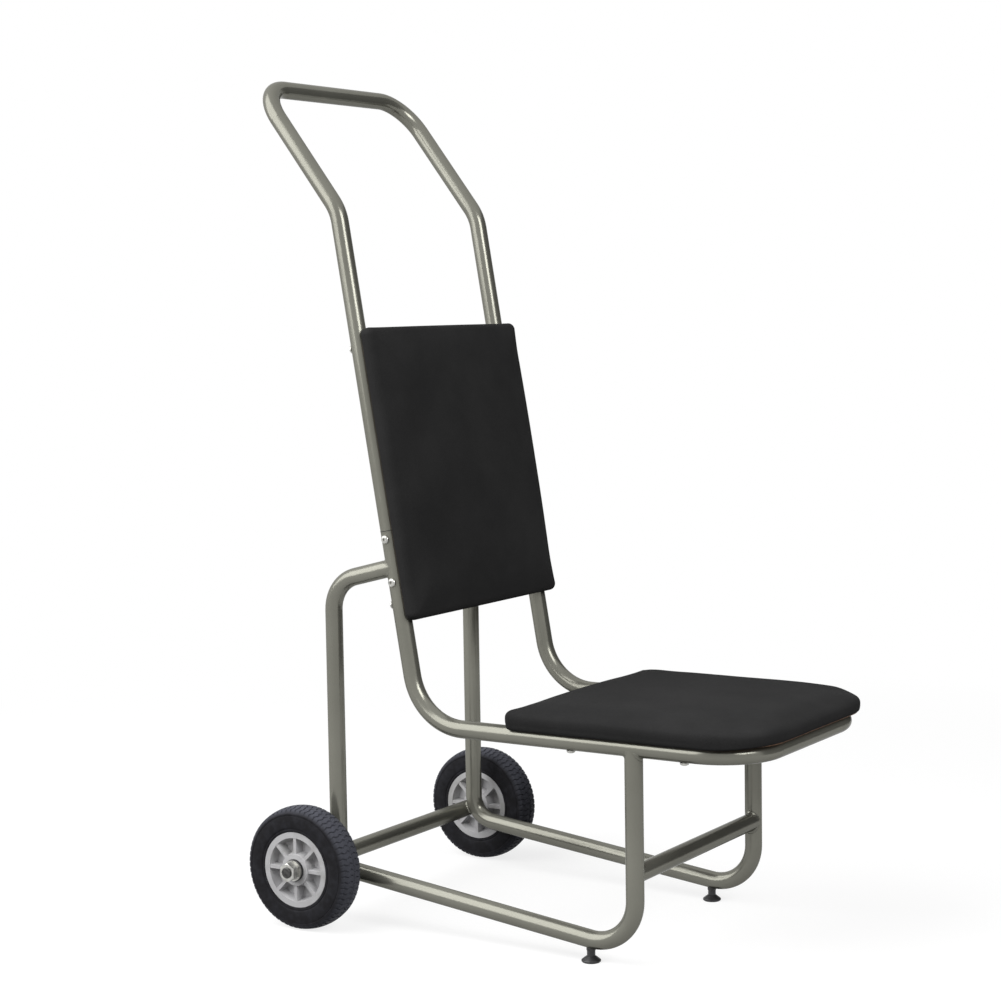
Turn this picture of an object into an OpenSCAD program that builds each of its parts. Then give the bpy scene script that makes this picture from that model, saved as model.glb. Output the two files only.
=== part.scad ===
// Stacking chair trolley: a bent tube frame with a padded seat and back, two wheels and two levelling feet.
// Millimetres, +Z up, -Y towards the front edge of the seat.
// The origin is on the floor, under the middle of the outline.

/* [Tube] */
// Outside diameter of every frame tube
tube_d = 25.4; // [22:0.2:30]
// Wall of every frame tube
tube_wall = 2; // [1.2:0.1:2.6]
// Distance between the centre planes of the right and left tubes
rail_span = 361; // [320:1:420]

/* [Seat frame] */
// Height of the seat rail centreline
seat_rail_z = 304; // [280:1:330]
// Seat corner to the centreline of the front rail
seat_reach = 520; // [470:1:560]
// Lean of the uprights from vertical, degrees
upright_lean = 9.7; // [6:0.1:13]
// Centreline radius of the bend between upright and seat rail
seat_bend_r = 85; // [70:1:100]
// Centreline radius of the two front corners
seat_corner_r = 80; // [60:1:100]

/* [Handle] */
// Seat corner to the joint of the handle tube, along the upright
joint_run = 281; // [265:1:300]
// Seat corner to the kink of the handle, along the upright
kink_run = 743; // [700:1:800]
// Kink to the centreline of the cross grip
grip_run = 231; // [190:1:270]
// Lean of the handle arms from vertical, degrees
handle_lean = 37.4; // [28:0.1:45]
// Centreline radius of the kink
kink_r = 70; // [50:1:90]
// Centreline radius of the two grip corners
grip_corner_r = 60; // [45:1:80]
// Length of the reduced end that plugs into the seat frame
spigot_len = 90; // [84:1:100]
// Radial clearance of the reduced end in the seat frame tube
spigot_fit = 0.1; // [0.05:0.05:0.3]
// Gap at the butt joint between the two tubes
joint_gap = 0.2; // [0:0.05:0.5]

/* [Side loops] */
// Height where the loop meets the upright
stub_z = 529; // [515:1:540]
// Fall of the top of the loop towards the rear, degrees
stub_fall = 14; // [8:0.5:20]
// Seat corner back to the rear leg
rear_leg_set = 149; // [135:1:170]
// Seat corner forward to the front leg
front_leg_set = 348; // [320:1:370]
// Height of the rear bottom corner of the loop centreline
rear_corner_z = 80; // [74:0.5:86]
// Height of the front bottom corner of the loop centreline
front_corner_z = 24; // [22:0.5:27]
// Centreline radius of the top rear bend
loop_top_r = 52; // [40:1:60]
// Centreline radius of the bottom rear bend
loop_rear_r = 40; // [34:1:46]
// Centreline radius of the bottom front bend
loop_front_r = 62; // [50:1:66]
// Height of the front cross tube
front_tube_z = 130; // [115:1:160]
// Wall lost in a bend on each face, as the tube stretches
bend_thin = 0.03; // [0.02:0.01:0.1]
// Gap left at each welded joint
weld_gap = 0.1; // [0.05:0.05:0.3]

/* [Wheels] */
// Diameter of the tyre
wheel_d = 180; // [170:1:190]
// Width of the tyre
tyre_w = 45; // [40:0.5:50]
// Centre plane of each wheel out from the loop beside it
wheel_out = 58.5; // [57:0.5:80]
// Thickness of the tyre from the hub rim to the tread
tyre_t = 35; // [32:0.5:38]
// Width of the hub rim
rim_w = 44; // [36:0.5:44]
// Radial thickness of the hub rim at its face
rim_wall = 8.5; // [6:0.5:10]
// Height of the ridge that keeps the tyre on the rim
ridge_h = 3; // [2:0.5:4]
// Width of the ridge at its foot
ridge_w = 20; // [14:1:26]
// Diameter of the hub boss at its face
boss_d = 46; // [42:1:52]
// Length of the hub boss
boss_len = 46; // [44:0.5:52]
// Thickness of the hub web
web_t = 16; // [10:0.5:20]
// Number of ribs on each face of the hub
rib_count = 8; // [6:1:10]
// Thickness of a rib at its face
rib_t = 5; // [4:0.5:7]
// How far the ribs stand below the rim's face
rib_set = 0.4; // [0.3:0.1:2]
// Draft of the hub's pocket walls over their full depth
pocket_draft = 4; // [2:0.25:5]
// Radius of the tyre shoulder
shoulder_r = 9; // [7:0.5:11]
// Rise of the tread band above the shoulders
tread_rise = 2; // [1.5:0.25:3]
// Radius of the tread's crown across the tyre
crown_r = 60; // [45:1:90]
// Width of the tread band
tread_w = 36; // [30:0.5:38]
// Number of tread grooves on each half of the tyre
groove_count = 32; // [24:1:40]
// Width of a tread groove
groove_w = 3; // [2:0.25:4]
// Depth of a tread groove
groove_depth = 2.5; // [1.5:0.25:3.5]
// Angle of a tread groove from the axle, degrees
groove_slant = 24; // [0:1:35]
// Clearance of the tyre on the rim
tyre_fit = 0.05; // [0.02:0.01:0.1]

/* [Axle] */
// Diameter of the axle rod
axle_d = 16; // [14:0.5:17]
// Radial running clearance of the bushes on the rod
bush_run = 0.05; // [0.02:0.01:0.1]
// Outside diameter of the hub bushes
bush_d = 22; // [20:0.5:24]
// Length of a hub bush without its flange
bush_len = 20; // [14:1:22]
// Diameter of the bush flange
bush_flange_d = 32; // [28:0.5:36]
// Thickness of the bush flange
bush_flange_t = 2; // [1.5:0.1:3]
// Free play of the wheel between its washers, each side
side_play = 0.3; // [0.2:0.05:0.5]
// Diameter of the axle washers
washer_d = 30; // [28:0.5:34]
// Thickness of the axle washers
washer_t = 3; // [2:0.25:4]
// Width across flats of the axle nuts
axle_nut_af = 24; // [22:0.5:27]
// Height of the axle nuts
axle_nut_h = 13; // [10:0.5:15]
// Length of axle rod past the outer nuts
axle_proud = 3; // [2:0.5:6]
// Chamfer on the ends of the axle rod
rod_chamfer = 1.5; // [0.5:0.25:1.75]
// Length of the plugs in the axle tube
plug_len = 24; // [15:1:40]
// Fit clearance of plugs, bushes, bosses, washers and nuts
fit_gap = 0.05; // [0.02:0.01:0.1]

/* [Seat pad] */
// Seat cushion past the centre plane of each rail, at its fullest
seat_side_out = 18.5; // [14:0.5:30]
// Overhang of the cushion in front of the front rail
seat_overhang = 10; // [6:0.5:20]
// Seat corner to the rear edge of the cushion
seat_rear_set = 150; // [130:1:180]
// Height of the cushion edge above the seat rails
seat_edge_h = 24; // [21:0.5:34]
// Extra height of the cushion in the middle
seat_crown = 6; // [2:0.5:12]
// Radius of the two front corners of the cushion
seat_front_r = 88; // [70:1:100]
// Radius of the two rear corners of the cushion
seat_rear_r = 26; // [20:1:40]
// Thickness of the seat board
seat_board_t = 12; // [9:0.5:14]

/* [Back pad] */
// Back cushion past the centre plane of each upright, at its fullest
back_side_out = 14.5; // [13.5:0.5:30]
// Seat corner to the lower edge of the back cushion, along the upright
back_low_run = 149; // [135:1:158]
// Seat corner to the upper edge of the back cushion, along the upright
back_high_run = 571; // [540:1:620]
// Thickness of the back cushion at its edge, from the tubes
back_edge_h = 20; // [17:0.5:28]
// Extra thickness of the back cushion in the middle
back_crown = 5; // [2:0.5:12]
// Radius of the corners of the back cushion
back_corner_r = 24; // [18:1:40]
// Thickness of the back board
back_board_t = 9; // [8:0.5:12]

/* [Pads] */
// Rounding of the cushions' top edge
pad_round = 9; // [5:0.5:11]
// How far the sides of a cushion draw in between its corners
pad_draw = 2; // [0:0.25:2.5]
// How far the cushion tucks under at its lower edge
pad_tuck = 1.5; // [0.5:0.25:2]
// Cover and foam round the edge of the board
pad_rim = 4.5; // [4:0.25:5.5]
// Height of board edge left bare under the cushion
pad_bare = 1.5; // [0.5:0.25:3]
// Gap between a board and its cushion, and between a board and the tubes
pad_gap = 0.2; // [0.1:0.05:0.5]

/* [Fasteners] */
// Diameter of the pad screws and the handle screws
screw_d = 6; // [5:0.5:7]
// Clearance hole allowance on diameter
screw_clear = 0.4; // [0.2:0.1:1]
// Diameter of a screw head
screw_head_d = 12; // [10:0.5:14]
// Height of a screw head
screw_head_h = 3.6; // [3:0.2:5]
// Hex socket across flats
socket_af = 4; // [3:0.25:5]
// Depth of the hex socket
socket_depth = 2; // [1.5:0.25:3]
// Diameter of the tee nut flange
tee_flange_d = 16; // [13:0.5:17]
// Thickness of the tee nut flange
tee_flange_t = 1.5; // [1:0.1:2]
// Diameter of the tee nut barrel
tee_barrel_d = 9; // [8.5:0.25:11]
// How far a tee nut's barrel stops short of the board's lower face
tee_lift = 1; // [0.5:0.25:2]
// How far a pad screw stops short of the board's upper face
screw_short = 1; // [0.5:0.25:2]
// Upper joint screw, below the joint
joint_screw_upper = 12; // [10:0.5:16]
// Lower joint screw, below the joint
joint_screw_lower = 74; // [71:0.5:78]
// Back pad screws in from the cushion's upper and lower edge
back_screw_inset = 26; // [22:0.5:32]
// Front seat screws back from the end of the front corner bend
seat_screw_front = 15; // [8:1:30]
// Rear seat screws in from the cushion's rear edge
seat_screw_rear = 100; // [30:1:120]
// Length of the shank of a joint screw
joint_screw_len = 8; // [6:0.5:12]

/* [Feet] */
// End of the bottom front bend back to the foot
foot_back = 1.05; // [0.5:0.05:8]
// Diameter of the foot's base
foot_d = 27; // [24:0.5:34]
// Height of the foot's base rim
foot_rim_h = 4; // [3:0.25:5]
// Height of the foot where its cone meets the collar
foot_cone_h = 9; // [7.5:0.25:10]
// Rounding of the foot's rim
foot_edge = 1.2; // [0.5:0.1:1.4]
// Diameter of the foot's collar
foot_collar_d = 11.6; // [10.5:0.2:12.4]
// Diameter of the levelling stem
stem_d = 8; // [6:0.5:8]
// Radial running clearance of the stem
stem_run = 0.05; // [0.02:0.01:0.1]
// Depth of the stem's seat above the floor
stem_seat_z = 5; // [4.5:0.25:6]
// Gap under the boss with the foot screwed in
foot_stop_gap = 0.3; // [0.2:0.05:0.5]
// Diameter of the threaded boss
boss_tap_d = 13; // [12:0.25:15]
// How far the boss stands below the rail
boss_tap_proud = 2.5; // [1.5:0.25:4]
// Gap between the top of the boss and the far wall of the rail
boss_tap_short = 0.75; // [0.5:0.25:2]

/* [Hidden] */
$fn = 64;

// Colours of the finishes
steel_grey = "#77756b";
zinc = "#b9b8b0";
axle_dark = "#4a4a48";
hub_grey = "#a7a6a8";
rubber_black = "#202022";
cover_black = "#333233";
plywood = "#9a6b48";
plastic_black = "#1c1c1c";
nylon = "#3a3a3c";

// Frame geometry, with the seat corner as the reference of the side view
tube_r = tube_d / 2;
bore_r = tube_r - tube_wall;
half_span = rail_span / 2;
right = -1;
left = 1;
sides = [right, left];
grip_rear = kink_run * sin(upright_lean) + grip_run * sin(handle_lean) + tube_r;
seat_front = seat_reach + tube_r + seat_overhang;
corner_y = (seat_front - grip_rear) / 2;
kink_y = corner_y + kink_run * sin(upright_lean);
kink_z = seat_rail_z + kink_run * cos(upright_lean);
grip_y = kink_y + grip_run * sin(handle_lean);
grip_z = kink_z + grip_run * cos(handle_lean);
front_rail_y = corner_y - seat_reach;
rear_leg_y = corner_y + rear_leg_set;
front_leg_y = corner_y - front_leg_set;
stub_y = corner_y + (stub_z - seat_rail_z) * tan(upright_lean);
stub_end_z = stub_z - (rear_leg_y - stub_y) * tan(stub_fall);

// The axle lies against the outside of the bottom rear bends
lower_fall = atan((rear_corner_z - front_corner_z) / (rear_leg_y - front_leg_y));
rear_bend_y = rear_leg_y - loop_rear_r;
rear_bend_z = rear_corner_z + loop_rear_r * tan((90 - lower_fall) / 2);
axle_z = wheel_d / 2;
axle_reach = loop_rear_r + tube_d + weld_gap;
axle_y = rear_bend_y + sqrt(pow(axle_reach, 2) - pow(rear_bend_z - axle_z, 2));

// Stack of pieces along the axle, from the wheel plane outwards on both sides
wheel_x = half_span + wheel_out;
rim_d = wheel_d - 2 * tyre_t;
axle_r = axle_d / 2;
flange_at = boss_len / 2;
washer_at = flange_at + bush_flange_t + side_play;
nut_at = washer_at + washer_t;
stack_end = nut_at + axle_nut_h;
axle_tube_half = wheel_x - stack_end;
axle_half = wheel_x + stack_end + axle_proud;

// Feet
front_bend_run = loop_front_r * tan((90 + lower_fall) / 2);
foot_y = front_leg_y + front_bend_run * cos(lower_fall) + foot_back;
foot_rail_z = front_corner_z + (foot_y - front_leg_y) * tan(lower_fall);
boss_low_z = foot_rail_z - tube_r / cos(lower_fall) - boss_tap_proud;
boss_roof = sqrt(pow(bore_r, 2) - pow(boss_tap_d / 2, 2)) - boss_tap_d / 2 * tan(lower_fall);
boss_high_z = foot_rail_z + boss_roof - boss_tap_short;
foot_top_z = boss_low_z - foot_stop_gap;

// Pads, and the steps of their curves
seat_half_w = half_span + seat_side_out;
back_half_w = half_span + back_side_out;
seat_lo = -seat_front;
seat_hi = -seat_rear_set;
pad_floor = tube_r + pad_gap;
arc_steps = 16;
side_steps = 6;
crown_steps = 4;
round_steps = 3;
// Height of a cushion's fullest line, as a share of its side
pad_full = 0.45;
// Overlap of a straight tube into the bend beside it
bend_lap = 0.5;
// Overlap of a hub rib into boss and rim
rib_root = 1;
// Radii of a screw's domed head, as shares of the head's own
dome_top = 0.6;
dome_mid = 0.9;
// Overrun of a cut past a face
cut = 1;

function unit(v) = v / norm(v);
function turn(a, b) = acos(max(-1, min(1, a * b)));
function mirror_x(points) = [for (p = points) [-p[0], p[1], p[2]]];
function reversed(list) = [for (i = [len(list) - 1:-1:0]) list[i]];
function on_upright(run) = [corner_y + run * sin(upright_lean), seat_rail_z + run * cos(upright_lean)];

// A straight round bar or tube between two points
module bar(from, to, outer_d, inner_d = 0) {
  run = to - from;
  translate(from)
    rotate([0, acos(run[2] / norm(run)), atan2(run[1], run[0])])
      difference() {
        cylinder(d = outer_d, h = norm(run));
        if (inner_d > 0)
          translate([0, 0, -cut])
            cylinder(d = inner_d, h = norm(run) + 2 * cut);
      }
}

// Tangent length at corner i of a path, nothing at its two ends
function is_end(path, i) = i == 0 || i == len(path) - 1;
function set_back(path, radii, i) =
  is_end(path, i) ? 0
  : radii[i] * tan(turn(unit(path[i] - path[i - 1]), unit(path[i + 1] - path[i])) / 2);
function lap(path, i) = is_end(path, i) ? 0 : bend_lap;

// A tube bent along a path of corner points, with a bend radius at each corner
module bent_tube(path, radii) {
  bore_d = tube_d - 2 * tube_wall;
  for (i = [0:len(path) - 2]) {
    dir = unit(path[i + 1] - path[i]);
    start = path[i] + dir * (set_back(path, radii, i) - lap(path, i));
    end = path[i + 1] - dir * (set_back(path, radii, i + 1) - lap(path, i + 1));
    bar(start, end, tube_d, bore_d);
  }
  for (i = [1:1:len(path) - 2]) {
    dir_in = unit(path[i] - path[i - 1]);
    dir_out = unit(path[i + 1] - path[i]);
    side = unit(dir_out - dir_in * (dir_out * dir_in));
    axis = cross(dir_in, side);
    centre = path[i] - dir_in * set_back(path, radii, i) + side * radii[i];
    multmatrix([
      [-side[0], dir_in[0], axis[0], centre[0]],
      [-side[1], dir_in[1], axis[1], centre[1]],
      [-side[2], dir_in[2], axis[2], centre[2]],
      [0, 0, 0, 1]
    ])
      rotate_extrude(angle = turn(dir_in, dir_out))
        translate([radii[i], 0])
          difference() {
            circle(d = tube_d - 2 * bend_thin);
            circle(d = bore_d + 2 * bend_thin);
          }
  }
}

// Local frame of the back: X across, Y up along the uprights from the seat corner, Z out of the front
module on_back() {
  translate([0, corner_y, seat_rail_z])
    rotate([90 - upright_lean, 0, 0])
      children();
}

// Local frame of the seat: X across, Y to the rear from the seat corner, Z up from the rail centreline
module on_seat() {
  translate([0, corner_y, seat_rail_z])
    children();
}

module on_axle() {
  translate([0, axle_y, axle_z])
    rotate([0, 90, 0])
      children();
}

// Paths of the bent tubes
function upright_point(side, run) = [side * half_span, on_upright(run)[0], on_upright(run)[1]];
seat_half_path = [
  upright_point(right, joint_run - joint_gap),
  [right * half_span, corner_y, seat_rail_z],
  [right * half_span, front_rail_y, seat_rail_z]
];
seat_path = concat(seat_half_path, reversed(mirror_x(seat_half_path)));
seat_radii = [0, seat_bend_r, seat_corner_r, seat_corner_r, seat_bend_r, 0];
shoulder_len = 2 * tube_wall;
handle_half_path = [
  upright_point(right, joint_run),
  [right * half_span, kink_y, kink_z],
  [right * half_span, grip_y, grip_z]
];
handle_path = concat(handle_half_path, reversed(mirror_x(handle_half_path)));
handle_radii = [0, kink_r, grip_corner_r, grip_corner_r, kink_r, 0];
function loop_path(side) = [
  [side * half_span, stub_y, stub_z],
  [side * half_span, rear_leg_y, stub_end_z],
  [side * half_span, rear_leg_y, rear_corner_z],
  [side * half_span, front_leg_y, front_corner_z],
  [side * half_span, front_leg_y, seat_rail_z]
];
loop_radii = [0, loop_top_r, loop_rear_r, loop_front_r, 0];

// Places of the pad screws in each pad's own plane
seat_screw_runs = [seat_corner_r - seat_reach + seat_screw_front, seat_hi - seat_screw_rear];
back_screw_runs = [back_low_run + back_screw_inset, back_high_run - back_screw_inset];
joint_screw_runs = [joint_run - joint_screw_upper, joint_run - joint_screw_lower];

module at_pad_screws(runs) {
  for (side = sides)
    for (run = runs)
      translate([side * half_span, run, 0])
        children();
}

// Screw holes through both walls of a tube under a pad
module pad_screw_holes(runs) {
  at_pad_screws(runs)
    cylinder(d = screw_d + screw_clear, h = 2 * tube_d, center = true);
}

// Joint screw holes, right through both tubes from side to side
module joint_screw_holes() {
  for (side = sides)
    for (run = joint_screw_runs)
      translate([side * half_span, run, 0])
        rotate([0, side * 90, 0])
          cylinder(d = screw_d + screw_clear, h = tube_d);
}

// Bent tube of the uprights, seat rails and front rail
module seat_frame_tube() {
  color(steel_grey)
    difference() {
      bent_tube(seat_path, seat_radii);
      on_seat() pad_screw_holes(seat_screw_runs);
      on_back() pad_screw_holes(back_screw_runs);
      on_back() joint_screw_holes();
    }
}

// Reduced end of the handle tube, from the end of the spigot up to the full tube
module handle_spigot() {
  spigot_r = bore_r - spigot_fit;
  spigot_bore = spigot_r - tube_wall;
  wall_mid = bore_r + tube_wall / 2;
  rotate([-90, 0, 0])
    rotate_extrude()
      polygon([
        [spigot_bore, -spigot_len],
        [spigot_r, -spigot_len],
        [spigot_r, bend_lap],
        [wall_mid, bend_lap],
        [wall_mid, 2 * shoulder_len],
        [spigot_bore, shoulder_len]
      ]);
}

// Bent tube of the handle with its two reduced ends
module handle_tube() {
  color(steel_grey)
    difference() {
      union() {
        bent_tube(handle_path, handle_radii);
        on_back()
          for (side = sides)
            translate([side * half_span, joint_run, 0])
              handle_spigot();
      }
      on_back() pad_screw_holes(back_screw_runs);
      on_back() joint_screw_holes();
    }
}

// Side loop, cut to fit the upright and the seat rail and drilled for the foot boss
module side_loop(side) {
  color(steel_grey)
    difference() {
      bent_tube(loop_path(side), loop_radii);
      bar(upright_point(side, 0), upright_point(side, kink_run), tube_d + 2 * weld_gap);
      bar([side * half_span, front_rail_y, seat_rail_z], [side * half_span, corner_y, seat_rail_z],
          tube_d + 2 * weld_gap);
      translate([side * half_span, foot_y, boss_low_z])
        cylinder(d = boss_tap_d + 2 * fit_gap, h = foot_rail_z - boss_low_z);
    }
}

module right_side_loop() {
  side_loop(right);
}

module left_side_loop() {
  side_loop(left);
}

// Cross tube between the front legs, cut to fit them
module front_cross_tube() {
  color(steel_grey)
    difference() {
      bent_tube([[-half_span, front_leg_y, front_tube_z], [half_span, front_leg_y, front_tube_z]], [0, 0]);
      for (side = sides)
        translate([side * half_span, front_leg_y, 0])
          cylinder(d = tube_d + 2 * weld_gap, h = seat_rail_z);
    }
}

// Tube that carries the axle behind the bottom bends of the loops
module axle_tube() {
  color(steel_grey)
    on_axle()
      difference() {
        cylinder(d = tube_d, h = 2 * axle_tube_half, center = true);
        cylinder(r = bore_r, h = 2 * (axle_tube_half + cut), center = true);
      }
}

// A ring along the axle, from one distance to another
module axle_ring(from, length, outer_d, inner_d) {
  translate([0, 0, from])
    difference() {
      cylinder(d = outer_d, h = length);
      translate([0, 0, -cut])
        cylinder(d = inner_d, h = length + 2 * cut);
    }
}

// The same pieces on both ends of the axle
module both_ends() {
  on_axle()
    for (side = sides)
      rotate([0, side == right ? 180 : 0, 0])
        children();
}

// Plugs that centre the rod in the ends of the axle tube
module axle_plugs() {
  color(zinc)
    both_ends()
      axle_ring(axle_tube_half - plug_len, plug_len, 2 * (bore_r - fit_gap), axle_d + 2 * fit_gap);
}

// Axle rod with chamfered ends
module axle_rod() {
  color(axle_dark)
    on_axle()
      rotate_extrude()
        polygon([
          [0, -axle_half],
          [axle_r - rod_chamfer, -axle_half],
          [axle_r, -axle_half + rod_chamfer],
          [axle_r, axle_half - rod_chamfer],
          [axle_r - rod_chamfer, axle_half],
          [0, axle_half]
        ]);
}

// Hexagon nut with chamfered corners, standing on its lower face
module hex_nut(af, height, bore_d) {
  corner_d = af / cos(30);
  chamfer = (corner_d - af) / 2;
  difference() {
    intersection() {
      cylinder(d = corner_d, h = height, $fn = 6);
      rotate_extrude()
        polygon([
          [0, 0],
          [af / 2, 0],
          [af / 2 + chamfer, chamfer / 2],
          [af / 2 + chamfer, height - chamfer / 2],
          [af / 2, height],
          [0, height]
        ]);
    }
    translate([0, 0, -cut])
      cylinder(d = bore_d, h = height + 2 * cut);
  }
}

// Nuts that clamp the rod against the ends of the axle tube
module inner_axle_nuts() {
  color(zinc)
    both_ends()
      translate([0, 0, axle_tube_half])
        hex_nut(axle_nut_af, axle_nut_h, axle_d + 2 * fit_gap);
}

// Nuts outside the wheels
module outer_axle_nuts() {
  color(zinc)
    both_ends()
      translate([0, 0, wheel_x + nut_at])
        hex_nut(axle_nut_af, axle_nut_h, axle_d + 2 * fit_gap);
}

// Washers on both sides of each wheel
module axle_washers() {
  color(zinc)
    both_ends()
      for (from = [wheel_x - nut_at, wheel_x + washer_at])
        axle_ring(from, washer_t, washer_d, axle_d + 2 * fit_gap);
}

// Half of the ridge between rim and tyre, grown by a clearance, from its foot to its top
function ridge_half(grow) = [
  [rim_d / 2 + grow, ridge_w / 2 + grow],
  [rim_d / 2 + ridge_h + grow, ridge_w / 2 - ridge_h + grow]
];
function mirror_z(points) = [for (p = points) [p[0], -p[1]]];

// Half of the tread grooves: slanted slots from the middle out to the shoulder
module tread_grooves(half) {
  slot_len = tread_w / 2;
  for (i = [0:groove_count - 1])
    rotate([0, 0, (i + half / 4) * 360 / groove_count])
      translate([wheel_d / 2, 0, half * slot_len / 2])
        rotate([half * groove_slant, 0, 0])
          cube([2 * groove_depth, groove_w, slot_len], center = true);
}

// Tyre with round shoulders, a crowned tread band and slanted grooves
module tyre(side) {
  rim_r = rim_d / 2 + tyre_fit;
  shoulder_at = wheel_d / 2 - shoulder_r - tread_rise;
  flat_w = tyre_w - 2 * shoulder_r;
  color(rubber_black)
    on_axle()
      translate([0, 0, side * wheel_x])
        difference() {
          rotate_extrude($fn = 96)
            difference() {
              union() {
                translate([rim_r, -tyre_w / 2])
                  square([shoulder_at - rim_r, tyre_w]);
                translate([rim_r, -flat_w / 2])
                  square([shoulder_at + shoulder_r - rim_r, flat_w]);
                for (end = [-1, 1])
                  translate([shoulder_at, end * flat_w / 2])
                    circle(r = shoulder_r);
                intersection() {
                  translate([wheel_d / 2 - crown_r, 0])
                    circle(r = crown_r);
                  translate([shoulder_at, -tread_w / 2])
                    square([wheel_d / 2 - shoulder_at + cut, tread_w]);
                }
              }
              polygon(concat(
                [[rim_r - cut, ridge_w / 2 + tyre_fit]],
                ridge_half(tyre_fit),
                reversed(mirror_z(ridge_half(tyre_fit))),
                [[rim_r - cut, -ridge_w / 2 - tyre_fit]]
              ));
            }
          for (half = [-1, 1])
            tread_grooves(half);
        }
}

module right_tyre() {
  tyre(right);
}

module left_tyre() {
  tyre(left);
}

// Ribs on one face of the hub, thicker at the web than at the face
module hub_ribs() {
  rib_from = boss_d / 2 - rib_root;
  rib_to = rim_d / 2 - rim_wall + rib_root;
  rib_h = rim_w / 2 - rib_set;
  foot_t = rib_t + pocket_draft;
  rib_foot = web_t / 4;
  for (i = [0:rib_count - 1])
    rotate([0, 0, i * 360 / rib_count])
      translate([rib_from, 0, 0])
        rotate([90, 0, 90])
          linear_extrude(rib_to - rib_from)
            polygon([
              [-foot_t / 2, rib_foot],
              [foot_t / 2, rib_foot],
              [rib_t / 2, rib_h],
              [-rib_t / 2, rib_h]
            ]);
}

// Moulded hub: boss, web and rim as one turned profile, with ribs on both faces
module hub(side) {
  bore = bush_d / 2 + fit_gap;
  boss_r = boss_d / 2;
  rim_r = rim_d / 2;
  pocket_r = rim_r - rim_wall;
  half_profile = [
    [bore, boss_len / 2],
    [boss_r, boss_len / 2],
    [boss_r + pocket_draft, web_t / 2],
    [pocket_r - pocket_draft, web_t / 2],
    [pocket_r, rim_w / 2],
    [rim_r, rim_w / 2],
    each ridge_half(0)
  ];
  color(hub_grey)
    on_axle()
      translate([0, 0, side * wheel_x])
        union() {
          rotate_extrude()
            polygon(concat(half_profile, reversed(mirror_z(half_profile))));
          hub_ribs();
          mirror([0, 0, 1]) hub_ribs();
        }
}

module right_hub() {
  hub(right);
}

module left_hub() {
  hub(left);
}

// Two flanged bushes in one hub
module hub_bushes(side) {
  inner_r = axle_r + bush_run;
  color(nylon)
    on_axle()
      translate([0, 0, side * wheel_x])
        for (end = [0, 180])
          rotate([0, end, 0])
            rotate_extrude()
              polygon([
                [inner_r, flange_at - bush_len],
                [bush_d / 2, flange_at - bush_len],
                [bush_d / 2, flange_at],
                [bush_flange_d / 2, flange_at],
                [bush_flange_d / 2, flange_at + bush_flange_t],
                [inner_r, flange_at + bush_flange_t]
              ]);
}

module right_hub_bushes() {
  hub_bushes(right);
}

module left_hub_bushes() {
  hub_bushes(left);
}

// Pan head screw along +Z, with the seat of its head at Z = 0
module pan_screw(length) {
  head_r = screw_head_d / 2;
  edge_h = screw_head_h / 2;
  difference() {
    rotate_extrude()
      polygon([
        [0, -screw_head_h],
        [head_r * dome_top, -screw_head_h],
        [head_r * dome_mid, -screw_head_h + edge_h / 2],
        [head_r, -edge_h],
        [head_r, 0],
        [screw_d / 2, 0],
        [screw_d / 2, length],
        [0, length]
      ]);
    translate([0, 0, -screw_head_h - cut])
      cylinder(d = socket_af / cos(30), h = socket_depth + cut, $fn = 6);
  }
}

// Screws from the outer side of each upright into the spigot
module handle_screws() {
  color(zinc)
    on_back()
      for (side = sides)
        for (run = joint_screw_runs)
          translate([side * (half_span + tube_r), run, 0])
            rotate([0, side * -90, 0])
              pan_screw(joint_screw_len);
}

// Tee nut along +Z, flange at the top, for a board of thickness t
module tee_nut(t) {
  bore = screw_d / 2 + fit_gap;
  rotate_extrude()
    polygon([
      [bore, tee_lift],
      [tee_barrel_d / 2, tee_lift],
      [tee_barrel_d / 2, t - tee_flange_t],
      [tee_flange_d / 2, t - tee_flange_t],
      [tee_flange_d / 2, t],
      [bore, t]
    ]);
}

// Rounded plate with one radius at its low end and another at its high end
module plate_outline(half_w, lo, hi, r_lo, r_hi) {
  for (side = sides) {
    translate([side * (half_w - r_lo), lo + r_lo])
      circle(r = r_lo);
    translate([side * (half_w - r_hi), hi - r_hi])
      circle(r = r_hi);
  }
  translate([-half_w, lo + r_lo])
    square([2 * half_w, hi - r_hi - lo - r_lo]);
  translate([-(half_w - r_lo), lo])
    square([2 * (half_w - r_lo), hi - lo - r_hi]);
  translate([-(half_w - r_hi), lo + r_lo])
    square([2 * (half_w - r_hi), hi - lo - r_lo]);
}

// Board of a pad, with a stepped hole for each tee nut
module pad_board(half_w, lo, hi, r_lo, r_hi, t, runs) {
  inset = pad_rim + pad_gap;
  translate([0, 0, pad_floor])
    difference() {
      linear_extrude(t)
        plate_outline(half_w - inset, lo + inset, hi - inset, r_lo - inset, r_hi - inset);
      at_pad_screws(runs) {
        translate([0, 0, -cut])
          cylinder(d = tee_barrel_d + 2 * fit_gap, h = t + 2 * cut);
        translate([0, 0, t - tee_flange_t - fit_gap])
          cylinder(d = tee_flange_d + 2 * fit_gap, h = tee_flange_t + cut);
      }
    }
}

// Corner of a rounded outline: centre, radius and start angle of each arc, front right first
function pad_corner(half_w, lo, hi, r_lo, r_hi, c) =
  c == 0 ? [[half_w - r_lo, lo + r_lo], r_lo]
  : c == 1 ? [[half_w - r_hi, hi - r_hi], r_hi]
  : c == 2 ? [[-half_w + r_hi, hi - r_hi], r_hi]
  : [[-half_w + r_lo, lo + r_lo], r_lo];
function arc_point(corner, angle, inset) = corner[0] + (corner[1] - inset) * [cos(angle), sin(angle)];

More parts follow.
